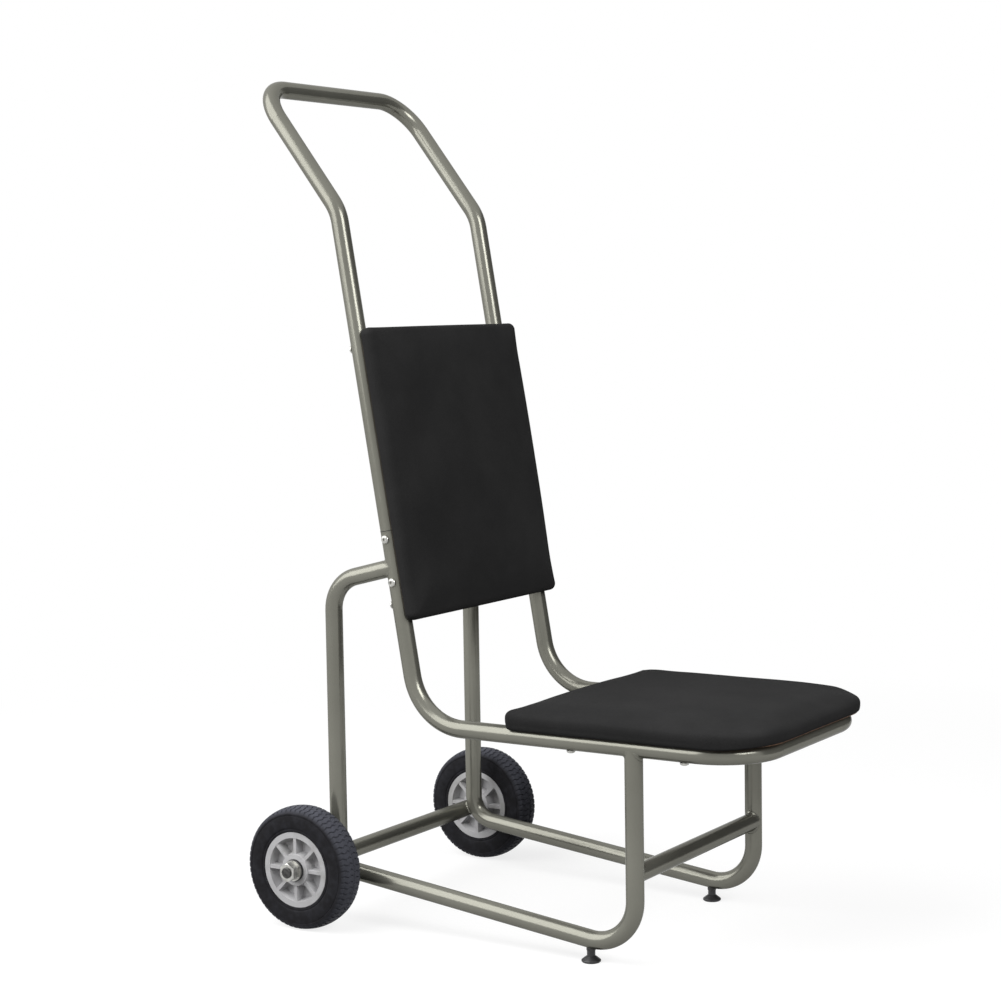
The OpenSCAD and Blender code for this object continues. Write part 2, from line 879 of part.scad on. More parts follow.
// One ring of a cushion: round corners, and sides drawn in between them
function pad_ring(half_w, lo, hi, r_lo, r_hi, inset, draw) = [
  for (c = [0:3])
    let (here = pad_corner(half_w, lo, hi, r_lo, r_hi, c))
    let (next = pad_corner(half_w, lo, hi, r_lo, r_hi, (c + 1) % 4))
    let (end_angle = c * 90)
    let (from = arc_point(here, end_angle, inset))
    let (to = arc_point(next, end_angle, inset))
    for (k = [0:arc_steps + side_steps - 1])
      k <= arc_steps
      ? arc_point(here, end_angle - 90 + 90 * k / arc_steps, inset)
      : let (s = (k - arc_steps) / side_steps)
        from + (to - from) * s - draw * 4 * s * (1 - s) * [cos(end_angle), sin(end_angle)]
];

// Cushion: a recess for the board below, tucked and drawn-in sides, a round edge and a crown
module pad_form(half_w, lo, hi, r_lo, r_hi, edge_h, crown, board_t) {
  middle = [0, (lo + hi) / 2];
  low = pad_bare;
  roof = board_t + pad_gap;
  top = edge_h - pad_gap;
  levels = concat(
    [[pad_rim, roof, 0, 0], [pad_rim, low, 0, 0], [pad_tuck, low, pad_draw, 0]],
    [[0, low + (top - low) * pad_full, pad_draw, 0]],
    [
      for (i = [0:round_steps])
        let (a = 90 * i / round_steps)
        [pad_round * (1 - cos(a)), top - pad_round * (1 - sin(a)), pad_draw * cos(a), 0]
    ],
    [for (i = [1:crown_steps - 1]) [pad_round, top, 0, i / crown_steps]]
  );
  rings = [
    for (level = levels)
      [
        for (p = pad_ring(half_w, lo, hi, r_lo, r_hi, level[0], level[2]))
          let (q = middle + (p - middle) * (1 - level[3]))
          [q[0], q[1], level[1] + crown * (1 - pow(1 - level[3], 2))]
      ]
  ];
  count = len(rings[0]);
  last = len(rings) - 1;
  points = concat(
    [for (ring = rings) each ring],
    [[middle[0], middle[1], roof], [middle[0], middle[1], top + crown]]
  );
  floor_mid = len(points) - 2;
  top_mid = len(points) - 1;
  walls = [
    for (j = [0:last - 1])
      for (i = [0:count - 1])
        let (a = j * count + i, b = j * count + (i + 1) % count)
        each [[a, a + count, b], [b, a + count, b + count]]
  ];
  floor_fan = [for (i = [0:count - 1]) [floor_mid, i, (i + 1) % count]];
  top_fan = [for (i = [0:count - 1]) [top_mid, last * count + (i + 1) % count, last * count + i]];
  translate([0, 0, pad_floor])
    polyhedron(points, concat(walls, floor_fan, top_fan));
}

module seat_board() {
  color(plywood)
    on_seat()
      pad_board(seat_half_w, seat_lo, seat_hi, seat_front_r, seat_rear_r, seat_board_t,
                seat_screw_runs);
}

module seat_cushion() {
  color(cover_black)
    on_seat()
      pad_form(seat_half_w, seat_lo, seat_hi, seat_front_r, seat_rear_r, seat_edge_h, seat_crown,
               seat_board_t);
}

// Screws from under the seat rails up into the tee nuts
module seat_screws() {
  color(zinc)
    on_seat()
      at_pad_screws(seat_screw_runs)
        translate([0, 0, -tube_r])
          pan_screw(tube_r + pad_floor + seat_board_t - screw_short);
}

module seat_tee_nuts() {
  color(zinc)
    on_seat()
      at_pad_screws(seat_screw_runs)
        translate([0, 0, pad_floor])
          tee_nut(seat_board_t);
}

module back_board() {
  color(plywood)
    on_back()
      pad_board(back_half_w, back_low_run, back_high_run, back_corner_r, back_corner_r, back_board_t,
                back_screw_runs);
}

module back_cushion() {
  color(cover_black)
    on_back()
      pad_form(back_half_w, back_low_run, back_high_run, back_corner_r, back_corner_r, back_edge_h,
               back_crown, back_board_t);
}

// Screws from behind the uprights into the tee nuts
module back_screws() {
  color(zinc)
    on_back()
      at_pad_screws(back_screw_runs)
        translate([0, 0, -tube_r])
          pan_screw(tube_r + pad_floor + back_board_t - screw_short);
}

module back_tee_nuts() {
  color(zinc)
    on_back()
      at_pad_screws(back_screw_runs)
        translate([0, 0, pad_floor])
          tee_nut(back_board_t);
}

module at_foot(side) {
  translate([side * half_span, foot_y, 0])
    children();
}

// Threaded boss set into the underside of the lower rail
module foot_boss(side) {
  color(zinc)
    at_foot(side)
      translate([0, 0, boss_low_z])
        difference() {
          cylinder(d = boss_tap_d, h = boss_high_z - boss_low_z);
          translate([0, 0, -cut])
            cylinder(r = stem_d / 2 + stem_run, h = boss_high_z - boss_low_z + 2 * cut);
        }
}

module right_foot_boss() {
  foot_boss(right);
}

module left_foot_boss() {
  foot_boss(left);
}

// Levelling stem, from its seat in the foot up into the boss
module foot_stem(side) {
  color(zinc)
    at_foot(side)
      translate([0, 0, stem_seat_z + foot_stop_gap])
        cylinder(d = stem_d, h = boss_high_z - stem_seat_z - 2 * foot_stop_gap);
}

module right_foot_stem() {
  foot_stem(right);
}

module left_foot_stem() {
  foot_stem(left);
}

// Foot: a base with a round rim, a cone and a collar, bored for the stem
module foot_pad(side) {
  foot_r = foot_d / 2;
  collar_r = foot_collar_d / 2;
  bore = stem_d / 2 + stem_run;
  color(plastic_black)
    at_foot(side)
      rotate_extrude()
        polygon([
          [0, 0],
          [foot_r - foot_edge, 0],
          [foot_r, foot_edge],
          [foot_r, foot_rim_h - foot_edge],
          [foot_r - foot_edge, foot_rim_h],
          [collar_r, foot_cone_h],
          [collar_r, foot_top_z],
          [bore, foot_top_z],
          [bore, stem_seat_z],
          [0, stem_seat_z]
        ]);
}

module right_foot_pad() {
  foot_pad(right);
}

module left_foot_pad() {
  foot_pad(left);
}

seat_frame_tube();
handle_tube();
right_side_loop();
left_side_loop();
front_cross_tube();
axle_tube();
axle_plugs();
axle_rod();
inner_axle_nuts();
outer_axle_nuts();
axle_washers();
right_tyre();
right_hub();
right_hub_bushes();
left_tyre();
left_hub();
left_hub_bushes();
handle_screws();
seat_board();
seat_cushion();
seat_screws();
seat_tee_nuts();
back_board();
back_cushion();
back_screws();
back_tee_nuts();
right_foot_boss();
right_foot_stem();
right_foot_pad();
left_foot_boss();
left_foot_stem();
left_foot_pad();
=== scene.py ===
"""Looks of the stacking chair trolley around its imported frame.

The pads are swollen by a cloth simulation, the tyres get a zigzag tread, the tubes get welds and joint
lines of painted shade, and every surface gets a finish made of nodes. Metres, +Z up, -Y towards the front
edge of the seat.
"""

import logging
import math
from dataclasses import dataclass, field, replace
from enum import Enum
from typing import Iterable, Sequence

import bpy
import numpy as np
from mathutils import Matrix, Vector
from mathutils.kdtree import KDTree


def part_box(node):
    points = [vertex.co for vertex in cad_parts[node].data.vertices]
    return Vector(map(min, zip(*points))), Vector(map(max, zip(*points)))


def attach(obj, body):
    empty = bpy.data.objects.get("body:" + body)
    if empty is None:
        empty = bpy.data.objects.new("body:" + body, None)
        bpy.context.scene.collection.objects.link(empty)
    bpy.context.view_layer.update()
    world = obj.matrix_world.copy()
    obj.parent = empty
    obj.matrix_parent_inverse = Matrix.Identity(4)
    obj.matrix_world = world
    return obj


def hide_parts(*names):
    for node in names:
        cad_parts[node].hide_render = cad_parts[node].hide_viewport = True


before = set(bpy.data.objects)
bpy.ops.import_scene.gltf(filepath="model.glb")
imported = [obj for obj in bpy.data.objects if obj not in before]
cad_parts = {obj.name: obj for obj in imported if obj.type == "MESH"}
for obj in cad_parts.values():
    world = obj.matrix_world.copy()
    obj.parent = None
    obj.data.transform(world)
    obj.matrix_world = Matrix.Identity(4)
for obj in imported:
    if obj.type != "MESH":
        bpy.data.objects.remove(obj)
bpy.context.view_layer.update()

LOG = logging.getLogger("trolley")
FRAME_BODY = "frame"
MM = 0.001
TINY = 1e-9
WHITE = (1.0, 1.0, 1.0, 1.0)
UPRIGHT_LEAN = math.radians(9.7)
X_AXIS, Y_AXIS, Z_AXIS = np.eye(3)

Colour = tuple[float, float, float]
Profile = list[tuple[float, float]]


class Side(Enum):
    """The two sides of the trolley, as a person on the seat names them."""

    RIGHT = -1
    LEFT = 1

    @property
    def label(self) -> str:
        """The side's name as the frame's nodes spell it."""
        return self.name.lower()


class NodeGraph:
    """A material's node tree, with short calls to add and join nodes."""

    def __init__(self, name: str) -> None:
        """Starts a material that holds one principled shader.

        Args:
            name: name of the material
        """
        self.material = bpy.data.materials.new(name)
        self.material.use_nodes = True
        self.tree = self.material.node_tree
        self.shader = self.tree.nodes["Principled BSDF"]
        self.coords = self.add("ShaderNodeTexCoord").outputs["Object"]

    def add(self, kind: str, values: dict[str, object] | None = None, **options: object) -> bpy.types.Node:
        """Adds a node.

        Args:
            kind: the node type's identifier
            values: socket names with the values they get
            options: the node's own settings
        Returns:
            the new node
        """
        node = self.tree.nodes.new(kind)
        for key, value in options.items():
            setattr(node, key, value)
        for key, value in (values or {}).items():
            node.inputs[key].default_value = value
        return node

    def join(self, source: bpy.types.NodeSocket, target: bpy.types.NodeSocket) -> None:
        """Links an output to an input."""
        self.tree.links.new(source, target)

    def shade(self, **values: object) -> None:
        """Sets the shader's own sockets; a socket's spaces are written as underscores."""
        for key, value in values.items():
            self.shader.inputs[key.replace("_", " ")].default_value = value

    def turned(self, angle: float) -> bpy.types.NodeSocket:
        """Gives the object's coordinates turned about X, so that a leaning pad gets a straight weave."""
        node = self.add("ShaderNodeMapping", {"Rotation": (angle, 0.0, 0.0)})
        self.join(self.coords, node.inputs["Vector"])
        return node.outputs["Vector"]

    def noise(self, scale: float, detail: float,
              stretch: Sequence[float] = (1.0, 1.0, 1.0)) -> bpy.types.NodeSocket:
        """Adds a noise in the object's own coordinates.

        Args:
            scale: cells per metre
            detail: octaves of finer noise
            stretch: factors on the three coordinates
        Returns:
            the noise's height, from 0 to 1
        """
        mapping = self.add("ShaderNodeMapping", {"Scale": tuple(stretch)})
        self.join(self.coords, mapping.inputs["Vector"])
        node = self.add("ShaderNodeTexNoise", {"Scale": scale, "Detail": detail})
        self.join(mapping.outputs["Vector"], node.inputs["Vector"])
        return node.outputs["Fac"]

    def wave(self, period: float, axis: str,
             coords: bpy.types.NodeSocket | None = None) -> bpy.types.NodeSocket:
        """Adds straight ridges.

        Args:
            period: distance from ridge to ridge in metres
            axis: X, Y or Z, the direction across the ridges
            coords: coordinates to use in place of the object's
        Returns:
            the ridges' height, from 0 to 1
        """
        radians_per_metre = 20.0
        scale = math.tau / (radians_per_metre * period)
        node = self.add("ShaderNodeTexWave", {"Scale": scale}, bands_direction=axis)
        self.join(coords or self.coords, node.inputs["Vector"])
        return node.outputs["Fac"]

    def span(self, value: bpy.types.NodeSocket, low: float, high: float,
             start: float = 0.0, end: float = 1.0) -> bpy.types.NodeSocket:
        """Maps a value's stretch from start to end onto low to high, held at both ends."""
        limits = {"From Min": start, "From Max": end, "To Min": low, "To Max": high}
        node = self.add("ShaderNodeMapRange", limits)
        self.join(value, node.inputs["Value"])
        return node.outputs["Result"]

    def maths(self, operation: str, first: bpy.types.NodeSocket,
              second: bpy.types.NodeSocket) -> bpy.types.NodeSocket:
        """Joins two values by a sum, product or other operation."""
        node = self.add("ShaderNodeMath", operation=operation)
        self.join(first, node.inputs[0])
        self.join(second, node.inputs[1])
        return node.outputs["Value"]

    def colour(self, value: bpy.types.NodeSocket, stops: Sequence[tuple[float, Colour]]) -> None:
        """Sets the base colour from a value.

        Args:
            value: a height from 0 to 1
            stops: two places along it with their colours
        """
        node = self.add("ShaderNodeValToRGB")
        for element, (place, colour) in zip(node.color_ramp.elements, stops):
            element.position = place
            element.color = (*colour, 1.0)
        self.join(value, node.inputs["Fac"])
        self.join(node.outputs["Color"], self.shader.inputs["Base Color"])

    def rough(self, value: bpy.types.NodeSocket, low: float, high: float) -> None:
        """Lets a value move the roughness between two limits."""
        self.join(self.span(value, low, high), self.shader.inputs["Roughness"])

    def bump(self, value: bpy.types.NodeSocket, depth: float, strength: float = 1.0) -> None:
        """Adds relief on top of any relief that is there.

        Args:
            value: height from 0 to 1
            depth: height in metres where the value is 1
            strength: share of the relief that shows
        """
        node = self.add("ShaderNodeBump", {"Distance": depth, "Strength": strength})
        self.join(value, node.inputs["Height"])
        target = self.shader.inputs["Normal"]
        if target.is_linked:
            self.join(target.links[0].from_socket, node.inputs["Normal"])
        self.join(node.outputs["Normal"], target)


@dataclass(frozen=True)
class Finish:
    """A finish, made into one material and given to every piece that has it.

    Attributes:
        name: name of the material
        slot: material slot of the record; not used
    """

    name: str
    slot: str

    def material(self) -> bpy.types.Material:
        """Gives the finish's material, made at the first call."""
        found = bpy.data.materials.get(self.name)
        if found is None:
            graph = NodeGraph(self.name)
            self.dress(graph)
            found = graph.material
        return found

    def dress(self, graph: NodeGraph) -> None:
        """Adds the finish's nodes to a new material."""
        raise NotImplementedError

    def cover(self, piece: bpy.types.Object) -> None:
        """Puts the finish on a piece, in place of what is there."""
        piece.data.materials.clear()
        piece.data.materials.append(self.material())

    def cover_nodes(self, *names: str) -> None:
        """Puts the finish on nodes of the frame."""
        for name in names:
            self.cover(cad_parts[name])
            LOG.info("%s: %s", name, self.name)


@dataclass(frozen=True)
class TubeCoat(Finish):
    """Satin metallic coat of the frame tubes.

    Attributes:
        dark: colour in the coat's darker drifts
        light: colour in its lighter drifts
        metal: share of metal in the coat
        smooth: least roughness
        dull: most roughness
        peel: height of the coat's fine ripple in metres
        gleam: level of the clear gloss over the metal
        gloss_tint: colour of that gloss
    """

    name: str = "satin_tube_coat"
    slot: str = "frame_metal"
    dark: Colour = (0.173, 0.171, 0.146)
    light: Colour = (0.221, 0.219, 0.188)
    metal: float = 0.5
    smooth: float = 0.17
    dull: float = 0.26
    peel: float = 0.00002
    gleam: float = 0.2
    gloss_tint: Colour = (0.4, 0.4, 0.38)

    def dress(self, graph: NodeGraph) -> None:
        """Drifts of tone, a fine flake, and a ripple that breaks up the highlights."""
        drift = graph.span(graph.noise(scale=9.0, detail=3.0), low=0.0, high=0.7, start=0.3, end=0.7)
        flake = graph.span(graph.noise(scale=2600.0, detail=0.0), low=0.0, high=0.3, start=0.3, end=0.7)
        graph.colour(graph.maths("ADD", drift, flake), [(0.0, self.dark), (1.0, self.light)])
        graph.rough(graph.noise(scale=70.0, detail=4.0), self.smooth, self.dull)
        graph.bump(graph.noise(scale=420.0, detail=1.0), self.peel)
        graph.shade(Metallic=self.metal, Specular_IOR_Level=self.gleam,
                    Specular_Tint=(*self.gloss_tint, 1.0))


@dataclass(frozen=True)
class PatchedFinish(Finish):
    """A finish with soft patches of two tones, uneven gloss and a fine relief.

    Attributes:
        low: colour on the low side of the patch noise
        high: colour on its high side
        edges: heights of the noise where the one colour ends and the other starts
        patches: scale and detail of the patch noise
        gloss: scale and detail of the noise that moves the roughness
        roughness: least and most roughness
        depth: height of the relief in metres
        stretch: factors on the coordinates of the patch noise
        relief: scale and detail of the relief, or none where the patches are the relief
        tool_marks: distance between turned marks along the axle in metres, in place of the relief
        metal: share of metal
    """

    low: Colour
    high: Colour
    edges: tuple[float, float]
    patches: tuple[float, float]
    gloss: tuple[float, float]
    roughness: tuple[float, float]
    depth: float
    stretch: tuple[float, float, float] = (1.0, 1.0, 1.0)
    relief: tuple[float, float] | None = None
    tool_marks: float | None = None
    metal: float = 0.0

    def dress(self, graph: NodeGraph) -> None:
        """Lays the patches, the gloss and the relief."""
        patches = graph.noise(*self.patches, self.stretch)
        graph.colour(patches, list(zip(self.edges, (self.low, self.high))))
        graph.rough(graph.noise(*self.gloss), *self.roughness)
        relief = patches
        if self.tool_marks is not None:
            relief = graph.wave(self.tool_marks, "X")
        elif self.relief is not None:
            relief = graph.noise(*self.relief)
        graph.bump(relief, self.depth)
        graph.shade(Metallic=self.metal)


ZINC_PLATE = PatchedFinish(
    "zinc_plate", "zinc_steel", low=(0.3, 0.3, 0.285), high=(0.52, 0.515, 0.485), edges=(0.3, 0.7),
    patches=(160.0, 4.0), gloss=(240.0, 3.0), roughness=(0.2, 0.42), depth=0.00006, tool_marks=0.0012,
    metal=1.0)
OILED_STEEL = PatchedFinish(
    "oiled_steel", "axle_steel", low=(0.03, 0.03, 0.03), high=(0.09, 0.088, 0.085), edges=(0.35, 0.75),
    patches=(180.0, 4.0), gloss=(260.0, 3.0), roughness=(0.3, 0.5), depth=0.00005, tool_marks=0.0009,
    metal=0.9)
# Painted shade: a dark ring stands for the shadow in the seam gap between handle tube and seat frame.
JOINT_PAINTED_SHADE = PatchedFinish(
    "painted_joint_shade", "frame_metal", low=(0.011, 0.011, 0.01), high=(0.05, 0.048, 0.042), edges=(0.4, 0.8),
    patches=(400.0, 4.0), gloss=(300.0, 2.0), roughness=(0.7, 0.9), depth=0.0001, relief=(900.0, 2.0))
HUB_PLASTIC = PatchedFinish(
    "hub_moulding", "hub_plastic", low=(0.36, 0.357, 0.354), high=(0.47, 0.467, 0.476), edges=(0.28, 0.5),
    patches=(38.0, 5.0), gloss=(120.0, 3.0), roughness=(0.42, 0.6), depth=0.00006, relief=(1500.0, 2.0))
FOOT_PLASTIC = PatchedFinish(
    "foot_moulding", "foot_plastic", low=(0.011, 0.011, 0.012), high=(0.03, 0.03, 0.031), edges=(0.45, 0.75),
    patches=(130.0, 5.0), gloss=(200.0, 3.0), roughness=(0.36, 0.55), depth=0.00005, relief=(2200.0, 2.0))
BUSH_PLASTIC = replace(FOOT_PLASTIC, name="bush_nylon", slot="bush_plastic")
PLY_BOARD = PatchedFinish(
    "ply_board", "pad_board", low=(0.095, 0.05, 0.03), high=(0.21, 0.125, 0.075), edges=(0.3, 0.65),
    patches=(60.0, 6.0), gloss=(90.0, 3.0), roughness=(0.6, 0.8), depth=0.0002, stretch=(6.0, 0.5, 0.5))


@dataclass(frozen=True)
class TyreRubber(Finish):
    """Black rubber, lighter on the tread from dust and a painted sheen.

    Attributes:
        deep: colour of the clean sidewall
        dust_and_sheen: colour of the tread, dusty and with a painted sheen
        axle_y: axle's place along Y in metres
        axle_z: axle's height in metres
        plain_radius: radius up to which the sidewall keeps its deep colour, free of dust and painted sheen
        tread_radius: radius where the tread has its full dust and painted sheen
    """

    name: str = "treaded_rubber"
    slot: str = "tyre_rubber"
    deep: Colour = (0.0145, 0.0142, 0.016)
    dust_and_sheen: Colour = (0.086, 0.089, 0.108)
    axle_y: float = 0.0
    axle_z: float = 0.0
    plain_radius: float = 0.081
    tread_radius: float = 0.089

    def dress(self, graph: NodeGraph) -> None:
        """Dust and painted sheen by distance from the axle, broken up by noise, over a fine pebbled skin."""
        centred = graph.add("ShaderNodeVectorMath", operation="SUBTRACT")
        graph.join(graph.coords, centred.inputs[0])
        centred.inputs[1].default_value = (0.0, self.axle_y, self.axle_z)
        flat = graph.add("ShaderNodeVectorMath", operation="MULTIPLY")
        graph.join(centred.outputs["Vector"], flat.inputs[0])
        flat.inputs[1].default_value = (0.0, 1.0, 1.0)
        radius = graph.add("ShaderNodeVectorMath", operation="LENGTH")
        graph.join(flat.outputs["Vector"], radius.inputs[0])
        # Painted sheen: towards the tread the colour lightens to a bluish grey that stands for dust and for
        # the sheen of the light on the tread.
        lighter_share = graph.span(radius.outputs["Value"], low=0.0, high=0.85, start=self.plain_radius,
                          end=self.tread_radius)
        drift = graph.span(graph.noise(scale=90.0, detail=5.0), low=-0.05, high=0.13, start=0.3, end=0.7)
        graph.colour(graph.maths("ADD", lighter_share, drift), [(0.0, self.deep), (1.0, self.dust_and_sheen)])
        graph.rough(graph.noise(scale=150.0, detail=3.0), low=0.5, high=0.66)
        graph.bump(graph.noise(scale=1400.0, detail=3.0), depth=0.00012)
        graph.shade(Specular_IOR_Level=0.06)


@dataclass(frozen=True)
class PadCloth(Finish):
    """Matte black woven cover of a pad.

    Attributes:
        pitch: turn of the pad's plane about X, radians
        yarn: distance from yarn to yarn in metres
        dark: colour between the yarns
        light: colour on the yarns
        fuzz: strength of the soft sheen at grazing angles
    """

    pitch: float = 0.0
    yarn: float = 0.0011
    dark: Colour = (0.0205, 0.0205, 0.0208)
    light: Colour = (0.035, 0.0348, 0.035)
    fuzz: float = 0.012

    def dress(self, graph: NodeGraph) -> None:
        """A plain weave in the pad's own plane, with uneven yarns and faint wear."""
        coords = graph.turned(-self.pitch)
        weave = graph.maths("MULTIPLY", graph.wave(self.yarn, "X", coords),
                            graph.wave(self.yarn, "Y", coords))
        wear = graph.noise(scale=12.0, detail=4.0)
        lighter_share = graph.span(wear, low=0.0, high=0.5, start=0.3, end=0.7)
        slub = graph.span(graph.noise(scale=700.0, detail=2.0), low=0.0, high=0.35, start=0.3, end=0.7)
        tone = graph.maths("ADD", lighter_share, slub)
        tone = graph.maths("ADD", tone, graph.span(weave, low=0.0, high=0.15))
        graph.colour(tone, [(0.0, self.dark), (1.0, self.light)])
        graph.rough(wear, low=0.72, high=0.86)
        graph.bump(weave, depth=0.00022, strength=0.7)
        graph.bump(graph.noise(scale=55.0, detail=3.0), depth=0.0005, strength=0.5)
        graph.shade(Sheen_Weight=self.fuzz, Sheen_Roughness=0.5, Specular_IOR_Level=0.01)


def unit(vectors: np.ndarray) -> np.ndarray:
    """Scales each vector to length 1."""
    return vectors / np.linalg.norm(vectors, axis=-1, keepdims=True)


def full_turn(steps: int) -> np.ndarray:
    """Gives evenly spaced angles of one full turn."""
    return np.linspace(0.0, math.tau, steps, endpoint=False)


def circle(turn: np.ndarray, first: np.ndarray, second: np.ndarray) -> np.ndarray:
    """Gives the points at some angles of the unit circle that two square axes span."""
    return np.outer(np.cos(turn), first) + np.outer(np.sin(turn), second)


def blend(tree: bpy.types.NodeTree, *sources: bpy.types.NodeSocket) -> bpy.types.NodeSocket:
    """Mixes shaders.

    Args:
        tree: the node tree
        sources: the second shader's share, the first shader and the second
    Returns:
        the mixed shader
    """
    mix = tree.nodes.new("ShaderNodeMixShader")
    for source, target in zip(sources, mix.inputs):
        tree.links.new(source, target)
    return mix.outputs[0]


def places(mesh: bpy.types.Mesh) -> np.ndarray:
    """Gives the places of a mesh's points."""
    return np.array([point.co for point in mesh.vertices])


def new_object(name: str, points: Iterable[Sequence[float]],
               faces: Iterable[Sequence[int]]) -> bpy.types.Object:
    """Makes a mesh object and puts it in the scene.

    Args:
        name: name of the object and its mesh
        points: places of its vertices, metres
        faces: vertex indices of each face
    Returns:
        the new object
    """
    mesh = bpy.data.meshes.new(name)
    mesh.from_pydata([tuple(point) for point in points], [], [tuple(face) for face in faces])
    made = bpy.data.objects.new(name, mesh)
    bpy.context.scene.collection.objects.link(made)
    return made


def add_piece(name: str, points: np.ndarray, faces: Iterable[Sequence[int]], finish: Finish, body: str,
              crease: float | None = None) -> bpy.types.Object:
    """Makes a dressed mesh that rides on a body.

    Args:
        name: name of the piece
        points: places of its vertices in the row frame, metres
        faces: vertex indices of each face
        finish: its finish
        body: name of the body that carries it
        crease: angle in radians above which an edge stays sharp
    Returns:
        the new object
    """
    piece = new_object(name, points, faces)
    mesh = piece.data
    mesh.validate()
    mesh.polygons.foreach_set("use_smooth", [True] * len(mesh.polygons))
    if crease is not None:
        mesh.set_sharp_from_angle(angle=crease)
    finish.cover(piece)
    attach(piece, body)
    LOG.info("%s: %d points", name, len(mesh.vertices))
    return piece


def ring_faces(rows: int, columns: int, close_rows: bool) -> list[tuple[int, int, int, int]]:
    """Joins rows of points, each a closed ring, into quads.

    Args:
        rows: number of rings
        columns: points in each ring
        close_rows: whether the last ring joins the first
    Returns:
        the faces
    """
    faces = []
    for row in range(rows if close_rows else rows - 1):
        lower = row * columns
        upper = (row + 1) % rows * columns
        for column in range(columns):
            following = (column + 1) % columns
            faces.append((lower + column, lower + following, upper + following, upper + column))
    return faces


@dataclass
class WeldBead:
    """A painted weld: a hollow fillet where a branch tube meets a main tube, or a bead along a line.

    Attributes:
        hollow: radius of the fillet's hollow face in metres
        least_leg: least width of the fillet, where the tubes' surfaces run into each other
        sink: how far the fillet's hidden edge lies under the tubes' surfaces
        curve_steps: points across the hollow face
        bead: radius of the bead
        ripple: share by which the bead's ripples swell it
        pitch: distance between ripples
        steps: points along the joint
        sides: points round the bead
    """

    hollow: float = 0.0048
    least_leg: float = 0.0006
    sink: float = 0.0004
    curve_steps: int = 7
    bead: float = 0.003
    ripple: float = 0.1
    pitch: float = 0.0026
    steps: int = 144
    sides: int = 8

    def saddle(self, branch: "Tube", main: "Tube") -> np.ndarray:
        """Finds where the branch's surface meets the main tube's.

        Args:
            branch: tube that ends on the other, its way pointing away from the joint
            main: tube that runs through
        Returns:
            a closed line of points
        """
        start = branch.point + branch.radius * circle(full_turn(self.steps), *branch.cross_axes())
        across = start - main.point
        across -= np.outer(across @ main.way, main.way)
        slope = branch.way - main.way * (branch.way @ main.way)
        steepness = slope @ slope
        approach = across @ slope
        clearance = np.einsum("ij,ij->i", across, across) - main.radius ** 2
        root = np.sqrt(np.maximum(approach * approach - steepness * clearance, 0.0))
        run = (root - approach) / steepness
        return start + np.outer(run, branch.way)

    def fillet(self, name: str, branch: "Tube", main: "Tube", finish: Finish) -> None:
        """Fills the corner round a branch, wide where the corner is sharp and thin where it is flat.

        Args:
            name: name of the piece
            branch: tube that ends on the other, its way pointing away from the joint
            main: tube that runs through
            finish: finish of the weld
        """
        line = self.saddle(branch, main)
        ahead = unit(np.roll(line, -1, 0) - np.roll(line, 1, 0))
        off_branch = branch.normals(line)
        off_main = main.normals(line)
        up = np.cross(off_branch, ahead)
        up *= np.sign(up @ branch.way)[:, None]
        away = np.cross(off_main, ahead)
        away *= np.sign((away * off_branch).sum(1) - away @ branch.way)[:, None]
        corner = np.arccos(np.clip((off_branch * off_main).sum(1), -1.0, 1.0))
        leg = np.maximum(self.hollow * np.tan(corner / 2), self.least_leg)[:, None]
        high = branch.onto(line + leg * up)
        low = main.onto(line + leg * away)
        rows = [line - self.sink * (off_branch + off_main)]
        for share in np.linspace(0.0, 1.0, self.curve_steps):
            rows.append((1 - share) ** 2 * low + 2 * share * (1 - share) * line + share ** 2 * high)
        add_piece(name, np.concatenate(rows), ring_faces(len(rows), len(line), True), finish, FRAME_BODY)

    def sweep(self, name: str, line: np.ndarray, finish: Finish, out: np.ndarray) -> None:
        """Sweeps the rippled bead along a closed line.

        Args:
            name: name of the piece
            line: the line's points
            finish: finish of the bead
            out: a direction that is never along the line
        """
        ahead = unit(np.roll(line, -1, 0) - np.roll(line, 1, 0))
        first = unit(np.cross(ahead, out))
        second = np.cross(ahead, first)
        length = np.linalg.norm(np.roll(line, -1, 0) - line, axis=1).sum()
        waves = round(length / self.pitch)
        radius = self.bead * (1.0 + self.ripple * np.sin(waves * full_turn(len(line))))
        rows = []
        for angle in full_turn(self.sides):
            offset = math.cos(angle) * first - math.sin(angle) * second
            rows.append(line + radius[:, None] * offset)
        faces = ring_faces(self.sides, len(line), True)
        add_piece(name, np.concatenate(rows), faces, finish, FRAME_BODY)


@dataclass
class Tube:
    """A straight round tube.

    Attributes:
        point: a point on its axis
        way: unit vector along it
        radius: outside radius in metres
    """

    point: np.ndarray
    way: np.ndarray
    radius: float

    def cross_axes(self) -> tuple[np.ndarray, np.ndarray]:
        """Gives two unit vectors square to the tube and to each other."""
        nearly_along = 0.9
        guide = X_AXIS if abs(self.way[0]) < nearly_along else Y_AXIS
        first = unit(np.cross(self.way, guide))
        return first, np.cross(self.way, first)

    def normals(self, points: np.ndarray) -> np.ndarray:
        """Gives the outward direction from the tube's axis at each point."""
        across = points - self.point
        across -= np.outer(across @ self.way, self.way)
        return unit(across)

    def onto(self, points: np.ndarray) -> np.ndarray:
        """Moves points straight out or in onto the tube's surface."""
        across = points - self.point
        axis = self.point + np.outer(across @ self.way, self.way)
        return axis + self.radius * self.normals(points)


